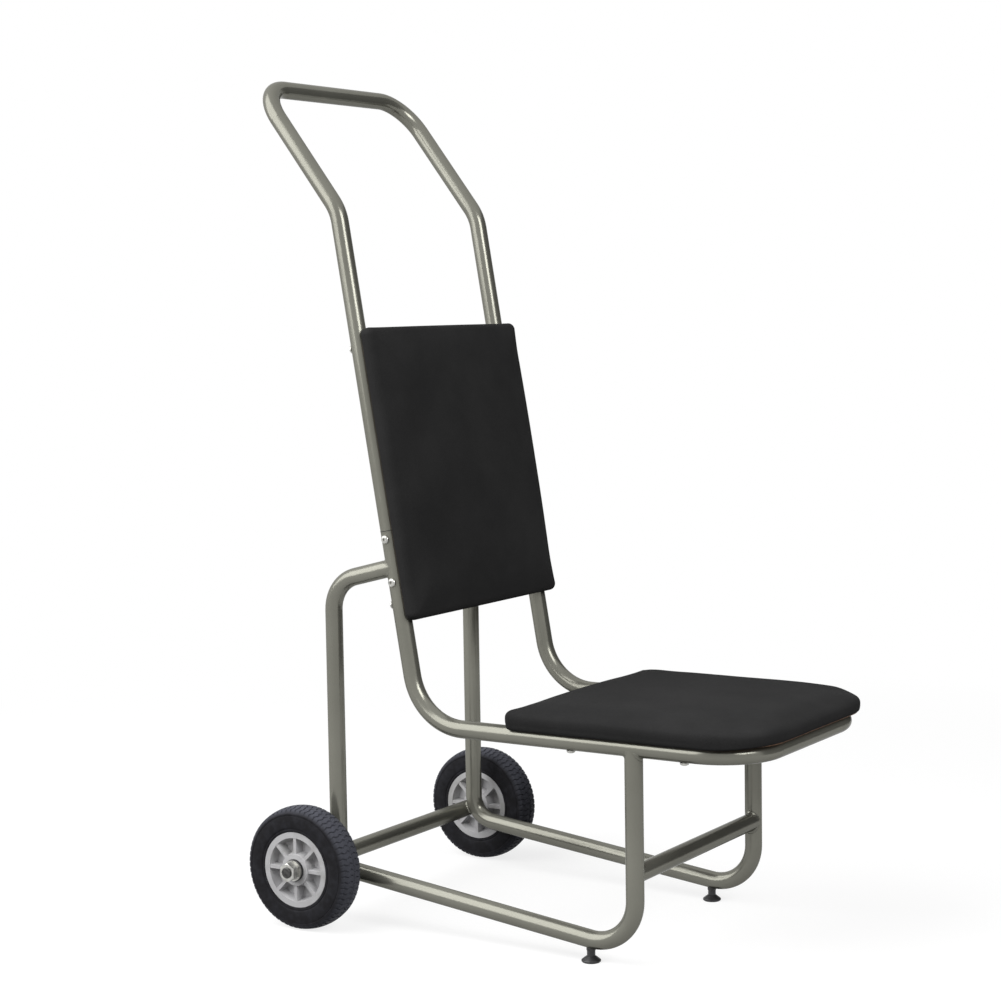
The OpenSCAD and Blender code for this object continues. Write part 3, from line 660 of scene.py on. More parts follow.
@dataclass
class TubeFrame:
    """The bent tubes and their welds.

    Attributes:
        coat: finish of the tubes
        upright_lean: lean of the uprights from vertical, radians
        seat_corner_set: front leg back to the corner of seat rail and upright, metres
        stub_height: height where a loop meets its upright
        stub_fall: fall of the loop's top towards the rear, radians
        rear_bend: centreline radius of the loop's bottom rear bend
        weld_gap: gap between welded tubes
        tack: radius of the ring of weld between loop and axle tube
        joint_line: half width of the ring of painted shade between handle tube and seat frame
        nodes: tubes of the frame
        radius: outside radius of the tubes, measured
        axle: middle of the axle tube, measured
        leg_y: place of the front legs, measured
        cross_z: height of the front cross tube, measured
        span: distance from the middle to a side loop, measured
        rear_y: place of a side loop's rear leg, measured
        rail_z: height of the seat rails, measured
        corner_y: place of the corner of seat rail and upright, worked out
    """

    coat: TubeCoat = field(default_factory=TubeCoat)
    upright_lean: float = UPRIGHT_LEAN
    seat_corner_set: float = 0.348
    stub_height: float = 0.529
    stub_fall: float = math.radians(14.0)
    rear_bend: float = 0.04
    weld_gap: float = 0.0001
    tack: float = 0.0072
    joint_line: float = 0.0005
    nodes: tuple[str, ...] = ("seat_frame_tube", "handle_tube", "right_side_loop", "left_side_loop",
                              "front_cross_tube", "axle_tube")
    radius: float = field(init=False)
    axle: np.ndarray = field(init=False)
    leg_y: float = field(init=False)
    cross_z: float = field(init=False)
    span: float = field(init=False)
    rear_y: float = field(init=False)
    rail_z: float = field(init=False)
    corner_y: float = field(init=False)

    def build(self) -> None:
        """Dresses the tubes and lays the welds."""
        self.measure()
        self.coat.cover_nodes(*self.nodes)
        for side in Side:
            self.weld_side(side)

    def measure(self) -> None:
        """Takes the tubes' places from the frame."""
        low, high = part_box("axle_tube")
        self.radius = (high.z - low.z) / 2
        self.axle = np.array((0.0, (low.y + high.y) / 2, (low.z + high.z) / 2))
        low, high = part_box("front_cross_tube")
        self.leg_y = (low.y + high.y) / 2
        self.cross_z = (low.z + high.z) / 2
        low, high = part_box("left_side_loop")
        self.span = (low.x + high.x) / 2
        self.rear_y = high.y - self.radius
        self.rail_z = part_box("seat_frame_tube")[0].z + self.radius
        self.corner_y = self.leg_y + self.seat_corner_set

    def weld_side(self, side: Side) -> None:
        """Lays the welds of one side.

        Args:
            side: the side
        """
        x = side.value * self.span
        lean = np.array((0.0, math.sin(self.upright_lean), math.cos(self.upright_lean)))
        upright = Tube(np.array((x, self.corner_y, self.rail_z)), lean, self.radius)
        stub_y = self.corner_y + (self.stub_height - self.rail_z) * math.tan(self.upright_lean)
        stub_way = np.array((0.0, math.cos(self.stub_fall), -math.sin(self.stub_fall)))
        stub = Tube(np.array((x, stub_y, self.stub_height)), stub_way, self.radius)
        rail = Tube(np.array((x, 0.0, self.rail_z)), Y_AXIS, self.radius)
        leg = Tube(np.array((x, self.leg_y, self.rail_z)), -Z_AXIS, self.radius)
        cross = Tube(np.array((x, self.leg_y, self.cross_z)), -side.value * X_AXIS, self.radius)
        weld = WeldBead()
        joints = (("stub_weld", stub, upright), ("leg_weld", leg, rail), ("cross_weld", cross, leg))
        for name, branch, main in joints:
            weld.fillet(f"{side.label}_{name}", branch, main, self.coat)
        self.tack_axle(side, weld)
        self.draw_joint(side, upright)

    def draw_joint(self, side: Side, upright: Tube) -> None:
        """Lays a dark ring of painted shade where the handle tube meets the seat frame, for the shadow in the
        seam.

        Args:
            side: the side
            upright: the seat frame's upright on that side
        """
        points = places(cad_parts["seat_frame_tube"].data)
        own = points[points[:, 0] * side.value > 0.0]
        run = ((own - upright.point) @ upright.way).max()
        # Painted shade: this thin dark ring stands for the shadow in the gap between the two tubes.
        line = WeldBead(bead=self.joint_line, ripple=0.0)
        ring = upright.radius * circle(full_turn(line.steps), *upright.cross_axes())
        ring += upright.point + run * upright.way
        line.sweep(f"{side.label}_joint_line", ring, JOINT_PAINTED_SHADE, upright.way)

    def tack_axle(self, side: Side, weld: WeldBead) -> None:
        """Lays the ring of weld between a loop's bottom bend and the axle tube.

        Args:
            side: the side
            weld: the kind of bead
        """
        reach = self.rear_bend + 2 * self.radius + self.weld_gap
        centre_y = self.rear_y - self.rear_bend
        centre_z = self.axle[2] + math.sqrt(reach ** 2 - (self.axle[1] - centre_y) ** 2)
        centre = np.array((side.value * self.span, centre_y, centre_z))
        axle = np.array((side.value * self.span, self.axle[1], self.axle[2]))
        out = unit(axle - centre)
        touch = centre + out * (self.rear_bend + self.radius + self.weld_gap / 2)
        turn = full_turn(weld.steps)
        ring = self.tack * circle(turn, X_AXIS, np.cross(out, X_AXIS))
        lift = self.tack ** 2 * (np.sin(turn) ** 2 - np.cos(turn) ** 2) / (4 * self.radius)
        weld.sweep(f"{side.label}_axle_weld", touch + ring + np.outer(lift, out), self.coat, out)


@dataclass
class Tread:
    """Zigzag tread of a tyre, as a sheared grid whose columns follow the grooves.

    Attributes:
        bars: number of bars round the tyre
        depth: depth of a groove in metres
        zig: shift of the zigzag, as a share of a bar's length round the tyre
        zig_width: width of one stroke of the zigzag across the tyre
        edge: place across the tyre where the grooves start to run out
        end: place where they have run out
        rib: half width of the groove round the middle
        rib_share: depth of that groove, as a share of the others' depth
        rib_margin: half width at the tread's surface, as a multiple of the groove's
        stagger: shift between the tread's two halves, in bars
        phases: places of the columns within one bar and the share of the groove's depth there
    """

    bars: int = 64
    depth: float = 0.0014
    zig: float = 0.3
    zig_width: float = 0.006
    edge: float = 0.0185
    end: float = 0.0222
    rib: float = 0.0011
    rib_share: float = 0.7
    rib_margin: float = 1.4
    stagger: float = 0.5
    phases: tuple[tuple[float, float], ...] = (
        (0.0, 0.0), (0.05, 1.0), (0.25, 1.0), (0.3, 0.0), (0.48, 0.0), (0.65, 0.0), (0.82, 0.0))

    def shift(self, across: float) -> float:
        """Gives the zigzag's shift at a place across the tyre, in bars."""
        stroke = abs(across) / self.zig_width
        triangle = 2 * abs(stroke / 2 - math.floor(stroke / 2 + 0.5))
        return self.zig * triangle + (self.stagger if across < 0 else 0.0)

    def share(self, across: float) -> float:
        """Gives the share of the groove's depth at a place across the tyre."""
        run_out = (self.end - abs(across)) / (self.end - self.edge)
        return max(0.0, min(1.0, run_out))


@dataclass
class Wheel:
    """A wheel: treaded tyre, ribbed hub and bushes.

    Attributes:
        side: side of the trolley
        rubber: finish of the tyre
        rim: radius where the tyre seats on the hub
        shoulder: radius of the round shoulder
        crown: radius of the tread across the tyre
        tread_half: half width of the crowned tread
        bulge: swell of the sidewall beyond the tyre's width
        fullness: power of that swell, lower for a flatter top
        bore_rows: places of the bore's rows, as shares of the half width
        bead: radius of the bead that seats on the rim
        bead_line: outline of the bead and the line above it, in beads from the rim and from the side
        wall_start: start of the sidewall, in beads from the rim
        wall_end: end of the sidewall, in beads below the shoulder
        shoulder_line: line between sidewall and shoulder, in beads like bead_line
        shoulder_drop: how far the shoulder lies below the tread's middle
        shoulder_sweep: angle that the shoulder turns through, radians
        crease: angle from which an edge of the tread is sharp, radians
        wall_steps: rows of points up the sidewall
        shoulder_steps: rows of points round the shoulder
        tread_rows: rows of points across half the tread
        tread: the tyre's tread
    """

    side: Side
    rubber: TyreRubber
    rim: float = 0.05508
    shoulder: float = 0.009
    crown: float = 0.06
    tread_half: float = 0.018
    bulge: float = 0.0009
    fullness: float = 0.8
    bore_rows: tuple[float, float] = (0.25, 0.7)
    bead: float = 0.0012
    bead_line: tuple[tuple[float, float], ...] = (
        (0.0, -1.0), (0.4, -0.4), (1.0, 0.0), (3.0, 0.0), (3.4, -0.5), (3.9, -0.5))
    wall_start: float = 4.4
    wall_end: float = 0.6
    shoulder_line: tuple[tuple[float, float], ...] = ((0.4, -0.5), (0.8, -0.5))
    shoulder_drop: float = 0.002
    shoulder_sweep: float = math.radians(60.0)
    crease: float = math.radians(38.0)
    wall_steps: int = 9
    shoulder_steps: int = 7
    tread_rows: int = 12
    tread: Tread = field(default_factory=Tread)

    def half_profile(self, half_width: float, radius: float) -> Profile:
        """Walks from the bore's middle up the sidewall to the tread's middle.

        Args:
            half_width: half the tyre's width
            radius: the tyre's radius
        Returns:
            places as radius and distance from the wheel's middle plane
        """
        core = radius - self.shoulder - self.shoulder_drop
        low = self.rim + self.wall_start * self.bead
        high = core - self.wall_end * self.bead
        points: Profile = [(self.rim, share * half_width) for share in self.bore_rows]
        points += self.moulded_line(self.bead_line, self.rim, half_width)
        for step in range(self.wall_steps):
            share = step / (self.wall_steps - 1)
            swell = self.bulge * math.sin(math.pi * share) ** self.fullness
            points.append((low + share * (high - low), half_width + swell))
        points += self.moulded_line(self.shoulder_line, high, half_width)
        for step in range(1, self.shoulder_steps):
            angle = self.shoulder_sweep * step / self.shoulder_steps
            points.append((core + self.shoulder * math.sin(angle),
                           half_width - self.shoulder * (1 - math.cos(angle))))
        rib_edge = self.tread.rib * self.tread.rib_margin
        for step in range(self.tread_rows):
            across = max(self.tread_half * (1 - step / (self.tread_rows - 1)), rib_edge)
            points.append((radius - across ** 2 / (2 * self.crown), across))
            if across == rib_edge:
                break
        points.append((radius - self.tread.rib_share * self.tread.depth, self.tread.rib))
        return points

    def moulded_line(self, line: Iterable[tuple[float, float]], radius: float, half_width: float) -> Profile:
        """Gives the places of an outline that is measured in beads from a radius and from the side."""
        return [(radius + out * self.bead, half_width + side * self.bead) for out, side in line]

    def build(self) -> None:
        """Makes the tyre's mesh and dresses the hub and bushes."""
        low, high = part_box(f"{self.side.label}_tyre")
        centre = (low + high) / 2
        half = self.half_profile((high.x - low.x) / 2, (high.z - low.z) / 2)
        profile = half + [(radius, -across) for radius, across in reversed(half)]
        rows = []
        for radius, across in profile:
            on_tread = radius > self.rim + self.shoulder and abs(across) > self.tread.rib
            sink = self.tread.depth * self.tread.share(across) if on_tread else 0.0
            row = []
            for bar in range(self.tread.bars):
                for place, depth in self.tread.phases:
                    angle = math.tau * (bar + place + self.tread.shift(across)) / self.tread.bars
                    distance = radius - sink * depth
                    row.append((centre.x + across, centre.y + distance * math.sin(angle),
                                centre.z + distance * math.cos(angle)))
            rows.append(row)
        columns = self.tread.bars * len(self.tread.phases)
        body = f"{self.side.label}_wheel"
        tyre = add_piece(f"{self.side.label}_treaded_tyre", np.array(rows).reshape(-1, 3),
                         ring_faces(len(rows), columns, True), self.rubber, body, self.crease)
        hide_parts(f"{self.side.label}_tyre")
        HUB_PLASTIC.cover_nodes(f"{self.side.label}_hub")
        BUSH_PLASTIC.cover_nodes(f"{self.side.label}_hub_bushes")


@dataclass
class Hardware:
    """The axle with its nuts and washers, and the screws, inserts, bosses and stems.

    Attributes:
        plated: nodes of bright plated steel
        oiled: nodes of dark oiled steel
    """

    plated: tuple[str, ...] = ("axle_plugs", "inner_axle_nuts", "outer_axle_nuts", "axle_washers",
                               "handle_screws", "seat_screws", "back_screws", "seat_tee_nuts",
                               "back_tee_nuts")
    oiled: tuple[str, ...] = ("axle_rod", "right_foot_boss", "left_foot_boss", "right_foot_stem",
                              "left_foot_stem")

    def build(self) -> None:
        """Dresses the plated and the oiled pieces."""
        ZINC_PLATE.cover_nodes(*self.plated)
        OILED_STEEL.cover_nodes(*self.oiled)


@dataclass
class Feet:
    """The two levelling feet."""

    def build(self) -> None:
        """Dresses the feet's moulded pads."""
        FOOT_PLASTIC.cover_nodes(*(f"{side.label}_foot_pad" for side in Side))


@dataclass(frozen=True)
class CoverCloth:
    """How the simulated cover of a pad behaves.

    Attributes:
        pressure: pressure inside it
        frames: steps of the simulation
        quality: solver steps in each of them
        mass: mass of a point in kilograms
        stretch: stiffness against stretching and pressing
        shear: stiffness against shearing
        bend: stiffness against bending
    """

    pressure: float = 4.0
    frames: int = 20
    quality: int = 6
    mass: float = 0.3
    stretch: float = 25.0
    shear: float = 12.0
    bend: float = 2.0

    def add_to(self, piece: bpy.types.Object, held: str) -> None:
        """Makes a piece behave as the cover.

        Args:
            piece: the piece
            held: group of its points that stay in place
        """
        cloth = piece.modifiers.new("Cover", "CLOTH")
        cloth.settings.quality = self.quality
        cloth.settings.mass = self.mass
        cloth.settings.tension_stiffness = self.stretch
        cloth.settings.compression_stiffness = self.stretch
        cloth.settings.shear_stiffness = self.shear
        cloth.settings.bending_stiffness = self.bend
        cloth.settings.use_pressure = True
        cloth.settings.uniform_pressure_force = self.pressure
        cloth.settings.effector_weights.gravity = 0.0
        cloth.settings.vertex_group_mass = held
        cloth.point_cache.frame_start = 1
        cloth.point_cache.frame_end = self.frames


@dataclass
class Cushion:
    """A foam pad under a stretched cover, standing for a plain cushion of the frame.

    Local places are X across, then along the pad from its low to its high end, then out of its face.

    Attributes:
        name: name of the piece
        node: cushion of the frame that it stands for
        board: board that carries it
        pitch: turn of its plane about X, radians
        low_radius: radius of the corners at its low end
        high_radius: radius of the corners at its high end
        low_lip: how far the cover hangs below the board at the low end
        side_lip: the same at the two sides
        high_lip: the same at the high end
        low_drop: how far the face falls towards the low end
        drop_reach: distance over which it falls
        edge_round: rounding of the face's edge, measured across the pad
        edge_height: height of that rounding
        crown: rise of the face from its edge to its middle
        shrink: how much smaller the form starts, so that it can swell
        least_radius: least radius of a corner inside the edge
        uneven: share by which the lip's depth wanders along the edge
        waves: the wander's waves, each as number round the edge, height and phase
        rim: width of the cover's lip
        tuck: how far the lip's inner edge leans out
        tuck_share: depth of that edge, as a share of the lip's depth
        lip_line: the lip's outline, as shares of its width and depth
        belly: how far the sides stand out
        belly_start: share of the height where they start to stand out
        belly_full: share of the height where they have done so
        gather: how far the faces' innermost rings are drawn to the middle
        bare: height of board edge below the cover
        board_gap: gap above the board
        voxel: size of the remeshed faces
        cover: how the simulated cover behaves
        swell_cap: farthest that a point may move
        hold_height: height above the board where the cover is free to swell
        hold_depth: height of the simulated form's underside that is held
        hold_inset: distance inside the edge from which it is held
        stiff_reach: distance over which the cover's stiffness evens the swelling
        roof_margin: height above the board up to which the recess keeps its place
        corner_steps: steps round a corner
        side_steps: steps along a side
        face_rings: rings of points from the edge to the middle
        round_steps: rings round the face's edge
        along: direction from its low to its high end, measured like all below
        out: direction out of its face
        half_width: half its width
        low_end: place of its low end
        high_end: place of its high end
        face: place of its face
        floor: place of the cover's lower edge
        roof: place of its underside over the board
    """

    name: str
    node: str
    board: str
    pitch: float
    low_radius: float
    high_radius: float
    low_lip: float
    side_lip: float
    high_lip: float
    low_drop: float
    drop_reach: float
    edge_round: float
    edge_height: float
    crown: float = 0.003
    shrink: float = 0.0012
    least_radius: float = 0.003
    uneven: float = 0.12
    waves: tuple[tuple[float, float, float], ...] = ((11.0, 1.0, 0.0), (23.0, 0.6, 1.0))
    rim: float = 0.0042
    tuck: float = 0.0004
    tuck_share: float = 0.8
    lip_line: tuple[tuple[float, float], ...] = ((0.55, 1.0), (0.15, 0.75))
    belly: float = 0.0007
    belly_start: float = 0.12
    belly_full: float = 0.3
    gather: float = 0.98
    bare: float = 0.0015
    board_gap: float = 0.0003
    voxel: float = 0.0045
    cover: CoverCloth = CoverCloth()
    swell_cap: float = 0.006
    hold_height: float = 0.008
    hold_depth: float = 0.002
    hold_inset: float = 0.001
    stiff_reach: float = 0.022
    roof_margin: float = 0.001
    corner_steps: int = 14
    side_steps: int = 30
    face_rings: int = 14
    round_steps: int = 7
    along: np.ndarray = field(init=False)
    out: np.ndarray = field(init=False)
    half_width: float = field(init=False)
    low_end: float = field(init=False)
    high_end: float = field(init=False)
    face: float = field(init=False)
    floor: float = field(init=False)
    roof: float = field(init=False)

    def build(self) -> None:
        """Makes, swells, dresses and places the pad."""
        self.measure()
        points, faces = self.form(plain=False)
        points = self.swell(points)
        cloth = PadCloth(f"{self.name}_cloth", "pad_cover", pitch=self.pitch)
        piece = add_piece(self.name, self.to_row(points), faces, cloth, FRAME_BODY)
        smooth = piece.modifiers.new("Smooth cover", "SUBSURF")
        smooth.levels = 1
        smooth.render_levels = 1
        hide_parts(self.node)

    def measure(self) -> None:
        """Takes the pad's place from the frame's cushion and board."""
        self.along = np.array((0.0, math.cos(self.pitch), math.sin(self.pitch)))
        self.out = np.array((0.0, -math.sin(self.pitch), math.cos(self.pitch)))
        low, high = self.extent(self.node)
        self.half_width = high[0]
        self.low_end = low[1]
        self.high_end = high[1]
        self.face = high[2]
        board_low, board_high = self.extent(self.board)
        self.floor = board_low[2] + self.bare
        self.roof = board_high[2] + self.board_gap

    def extent(self, node: str) -> tuple[np.ndarray, np.ndarray]:
        """Gives the lowest and highest local place of a node of the frame."""
        local = self.to_local(places(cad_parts[node].data))
        return local.min(0), local.max(0)

    def to_local(self, points: np.ndarray) -> np.ndarray:
        """Turns places in the row frame into the pad's own."""
        return np.stack([points[:, 0], points @ self.along, points @ self.out], 1)

    def to_row(self, points: np.ndarray) -> np.ndarray:
        """Turns the pad's own places into the row frame."""
        row = np.outer(points[:, 1], self.along) + np.outer(points[:, 2], self.out)
        row[:, 0] = points[:, 0]
        return row

    def outline(self, inset: float = 0.0) -> tuple[np.ndarray, np.ndarray]:
        """Walks round the pad's edge, or a line inside it.

        Args:
            inset: distance inside the edge
        Returns:
            points on the line, and the outward direction at each
        """
        trim = self.shrink + inset
        corners = ((1, -1, self.low_radius), (1, 1, self.high_radius),
                   (-1, 1, self.high_radius), (-1, -1, self.low_radius))
        arcs = []
        for index, (across, along, full) in enumerate(corners):
            radius = max(full - inset, self.least_radius)
            end = self.low_end if along < 0 else self.high_end
            centre = np.array((across * (self.half_width - trim - radius), end - along * (trim + radius)))
            turn = math.pi / 2 * (index - 1 + np.arange(self.corner_steps + 1) / self.corner_steps)
            facing = np.column_stack([np.cos(turn), np.sin(turn)])
            arcs.append((centre + radius * facing, facing))
        share = np.arange(1, self.side_steps)[:, None] / self.side_steps
        points, normals = [], []
        for (arc, facing), (following, _) in zip(arcs, arcs[1:] + arcs[:1]):
            points += [arc, arc[-1] + (following[0] - arc[-1]) * share]
            normals += [facing, np.repeat(facing[-1:], self.side_steps - 1, 0)]
        return np.concatenate(points), np.concatenate(normals)

    def lip(self, normals: np.ndarray) -> np.ndarray:
        """Gives how far the cover hangs below the board at each point of the edge.

        Args:
            normals: outward directions along the edge
        Returns:
            the lip's depths, by the edge's direction and with a slow wander
        """
        low = np.maximum(-normals[:, 1], 0.0) ** 2
        high = np.maximum(normals[:, 1], 0.0) ** 2
        depth = self.low_lip * low + self.high_lip * high + self.side_lip * normals[:, 0] ** 2
        turn = full_turn(len(normals))
        wander = sum(height * np.sin(number * turn + phase) for number, height, phase in self.waves)
        most = sum(height for _, height, _ in self.waves)
        return depth * (1.0 - self.uneven * (1.0 + wander / most) / 2)

    def form(self, plain: bool) -> tuple[np.ndarray, list[tuple[int, ...]]]:
        """Makes the closed form of the pad.

        Args:
            plain: whether it has a flat underside, without lip and recess, for the simulation
        Returns:
            local points and faces
        """
        normals = self.outline()[1]
        lip = 0.0 * normals[:, 0] if plain else self.lip(normals)
        roof = self.floor if plain else self.roof
        middle = np.array((0.0, (self.low_end + self.high_end) / 2))
        top = self.face - self.crown - self.shrink
        rows = []

        def add_row(inset: float, height: np.ndarray | float, gather: float = 0.0) -> None:
            """Adds a ring at an inset from the edge, drawn towards the middle."""
            flat = self.outline(inset)[0]
            flat = middle + (flat - middle) * (1.0 - gather)
            near = np.clip((flat[:, 1] - self.low_end) / self.drop_reach, 0.0, 1.0)
            share = np.clip((height - self.floor) / (top - self.floor), 0.0, 1.0)
            fall = self.low_drop * (1.0 - near) ** 2 * share
            rows.append(np.column_stack([flat, np.broadcast_to(height, len(flat)) - fall]))

        for gather in np.linspace(self.gather, 1.0 - self.gather, self.face_rings):
            add_row(self.rim, roof, gather)
        add_row(self.rim, roof)
        if not plain:
            add_row(self.rim, 0.5 * (self.floor + roof))
            add_row(self.rim, self.floor)
        add_row(self.rim - self.tuck, self.floor - self.tuck_share * lip)
        for width, depth in self.lip_line:
            add_row(width * self.rim, self.floor - depth * lip)
        add_row(0.0, self.floor + self.belly_start * (top - self.floor))
        add_row(-self.belly, self.floor + self.belly_full * (top - self.floor))
        for angle in np.linspace(0.0, math.pi / 2, self.round_steps):
            add_row(self.edge_round * (1 - math.cos(angle)) - self.belly * math.cos(angle),
                    top - self.edge_height * (1 - math.sin(angle)))
        for gather in np.linspace(0.0, self.gather, self.face_rings + 1)[1:]:
            add_row(self.edge_round, top + self.crown * (1.0 - (1.0 - gather) ** 2), gather)
        columns = len(normals)
        points = np.concatenate(rows)
        faces: list[tuple[int, ...]] = list(ring_faces(len(rows), columns, False))
        faces.append(tuple(range(columns - 1, -1, -1)))
        last = (len(rows) - 1) * columns
        faces.append(tuple(range(last, last + columns)))
        return points, faces

    def even_copy(self) -> bpy.types.Object:
        """Makes a plain copy of the form with even faces, which the simulation needs."""
        points, faces = self.form(plain=True)
        copy = new_object("even_cover", self.to_row(points), faces)
        modifier = copy.modifiers.new("Even faces", "REMESH")
        modifier.mode = "VOXEL"
        modifier.voxel_size = self.voxel
        evaluated = copy.evaluated_get(bpy.context.evaluated_depsgraph_get())
        copy.data = bpy.data.meshes.new_from_object(evaluated)
        copy.modifiers.clear()
        return copy

    def inset(self, local: np.ndarray) -> np.ndarray:
        """Gives each point's distance inside the pad's edge."""
        middle = (self.low_end + self.high_end) / 2
        along = local[:, 1] - middle
        radius = np.where(along < 0, self.low_radius, self.high_radius)
        across = np.abs(local[:, 0]) - self.half_width + radius
        run = np.abs(along) - (self.high_end - self.low_end) / 2 + radius
        outside = np.hypot(np.maximum(across, 0.0), np.maximum(run, 0.0))
        return radius - outside - np.minimum(np.maximum(across, run), 0.0)

    def simulate(self) -> tuple[np.ndarray, np.ndarray]:
        """Swells an even copy of the cover by simulated pressure, held where it lies on the board.

        Returns:
            places of the copy's points before, and how far each moves
        """
        copy = self.even_copy()
        rest = places(copy.data)
        local = self.to_local(rest)
        inside = self.inset(local) > self.shrink + self.hold_inset
        held = inside & (local[:, 2] < self.floor + self.hold_depth)
        group = copy.vertex_groups.new(name="held")
        group.add(np.nonzero(held)[0].tolist(), 1.0, "REPLACE")
        self.cover.add_to(copy, group.name)
        scene = bpy.context.scene
        for step in range(1, self.cover.frames + 1):
            scene.frame_set(step)
        evaluated = copy.evaluated_get(bpy.context.evaluated_depsgraph_get())
        moved = places(evaluated.data) - rest
        reach = np.linalg.norm(moved, axis=1)
        LOG.info("%s: the cover swells by up to %.1f mm", self.name, reach.max() / MM)
        moved *= np.minimum(1.0, self.swell_cap / np.maximum(reach, TINY))[:, None]
        bpy.data.objects.remove(copy)
        scene.frame_set(1)
        return rest, moved

    def swell(self, points: np.ndarray) -> np.ndarray:
        """Carries the simulated swelling to the pad's own points, smoothed over the weave's stiffness.

        The foam keeps the cover from being drawn in, so no point moves inward.

        Args:
            points: local points of the pad
        Returns:
            the swollen local points
        """
        rest, moved = self.simulate()
        tree = KDTree(len(rest))
        for index, place in enumerate(rest):
            tree.insert(place, index)
        tree.balance()
        row = self.to_row(points)
        rise = np.clip((points[:, 2] - self.floor) / self.hold_height, 0.0, 1.0)
        inside = self.inset(points) > self.shrink + 0.5 * self.rim
        below_face = points[:, 2] < self.roof + self.roof_margin
        rise[inside & below_face] = 0.0
        for index in np.nonzero(rise > 0.0)[0]:
            near = tree.find_range(row[index], self.stiff_reach)
            weights = np.array([1.0 - gap / self.stiff_reach for _, _, gap in near])
            steps = moved[[number for _, number, _ in near]]
            row[index] += rise[index] * (weights[:, None] * steps).sum(0) / max(weights.sum(), TINY)
        moves = self.to_local(row) - points
        normals = self.outline()[1]
        outward = np.tile(normals, (len(points) // len(normals), 1))
        inward = np.minimum((moves[:, :2] * outward).sum(1), 0.0)
        moves[:, :2] -= inward[:, None] * outward
        return points + moves


@dataclass
class Boards:
    """The plywood boards of the two pads."""

    def build(self) -> None:
        """Dresses both boards."""
        PLY_BOARD.cover_nodes("seat_board", "back_board")


@dataclass(frozen=True)
class SoftBox:
    """A soft lamp that faces a point.

    Attributes:
        name: name of the lamp
        place: its place in metres
        size: width and height in metres
        power: watts
        target: point that it faces
    """

    name: str
    place: tuple[float, float, float]
    size: tuple[float, float]
    power: float
    target: tuple[float, float, float] = (0.0, 0.0, 0.5)

    def build(self) -> None:
        """Hangs the lamp."""
        lamp = bpy.data.lights.new(self.name, "AREA")
        lamp.shape = "RECTANGLE"
        lamp.size, lamp.size_y = self.size
        lamp.energy = self.power
        holder = bpy.data.objects.new(self.name, lamp)
        holder.location = self.place
        holder.rotation_euler = (Vector(self.target) - Vector(self.place)).to_track_quat("-Z", "Y").to_euler()
        holder.visible_camera = False
        bpy.context.scene.collection.objects.link(holder)


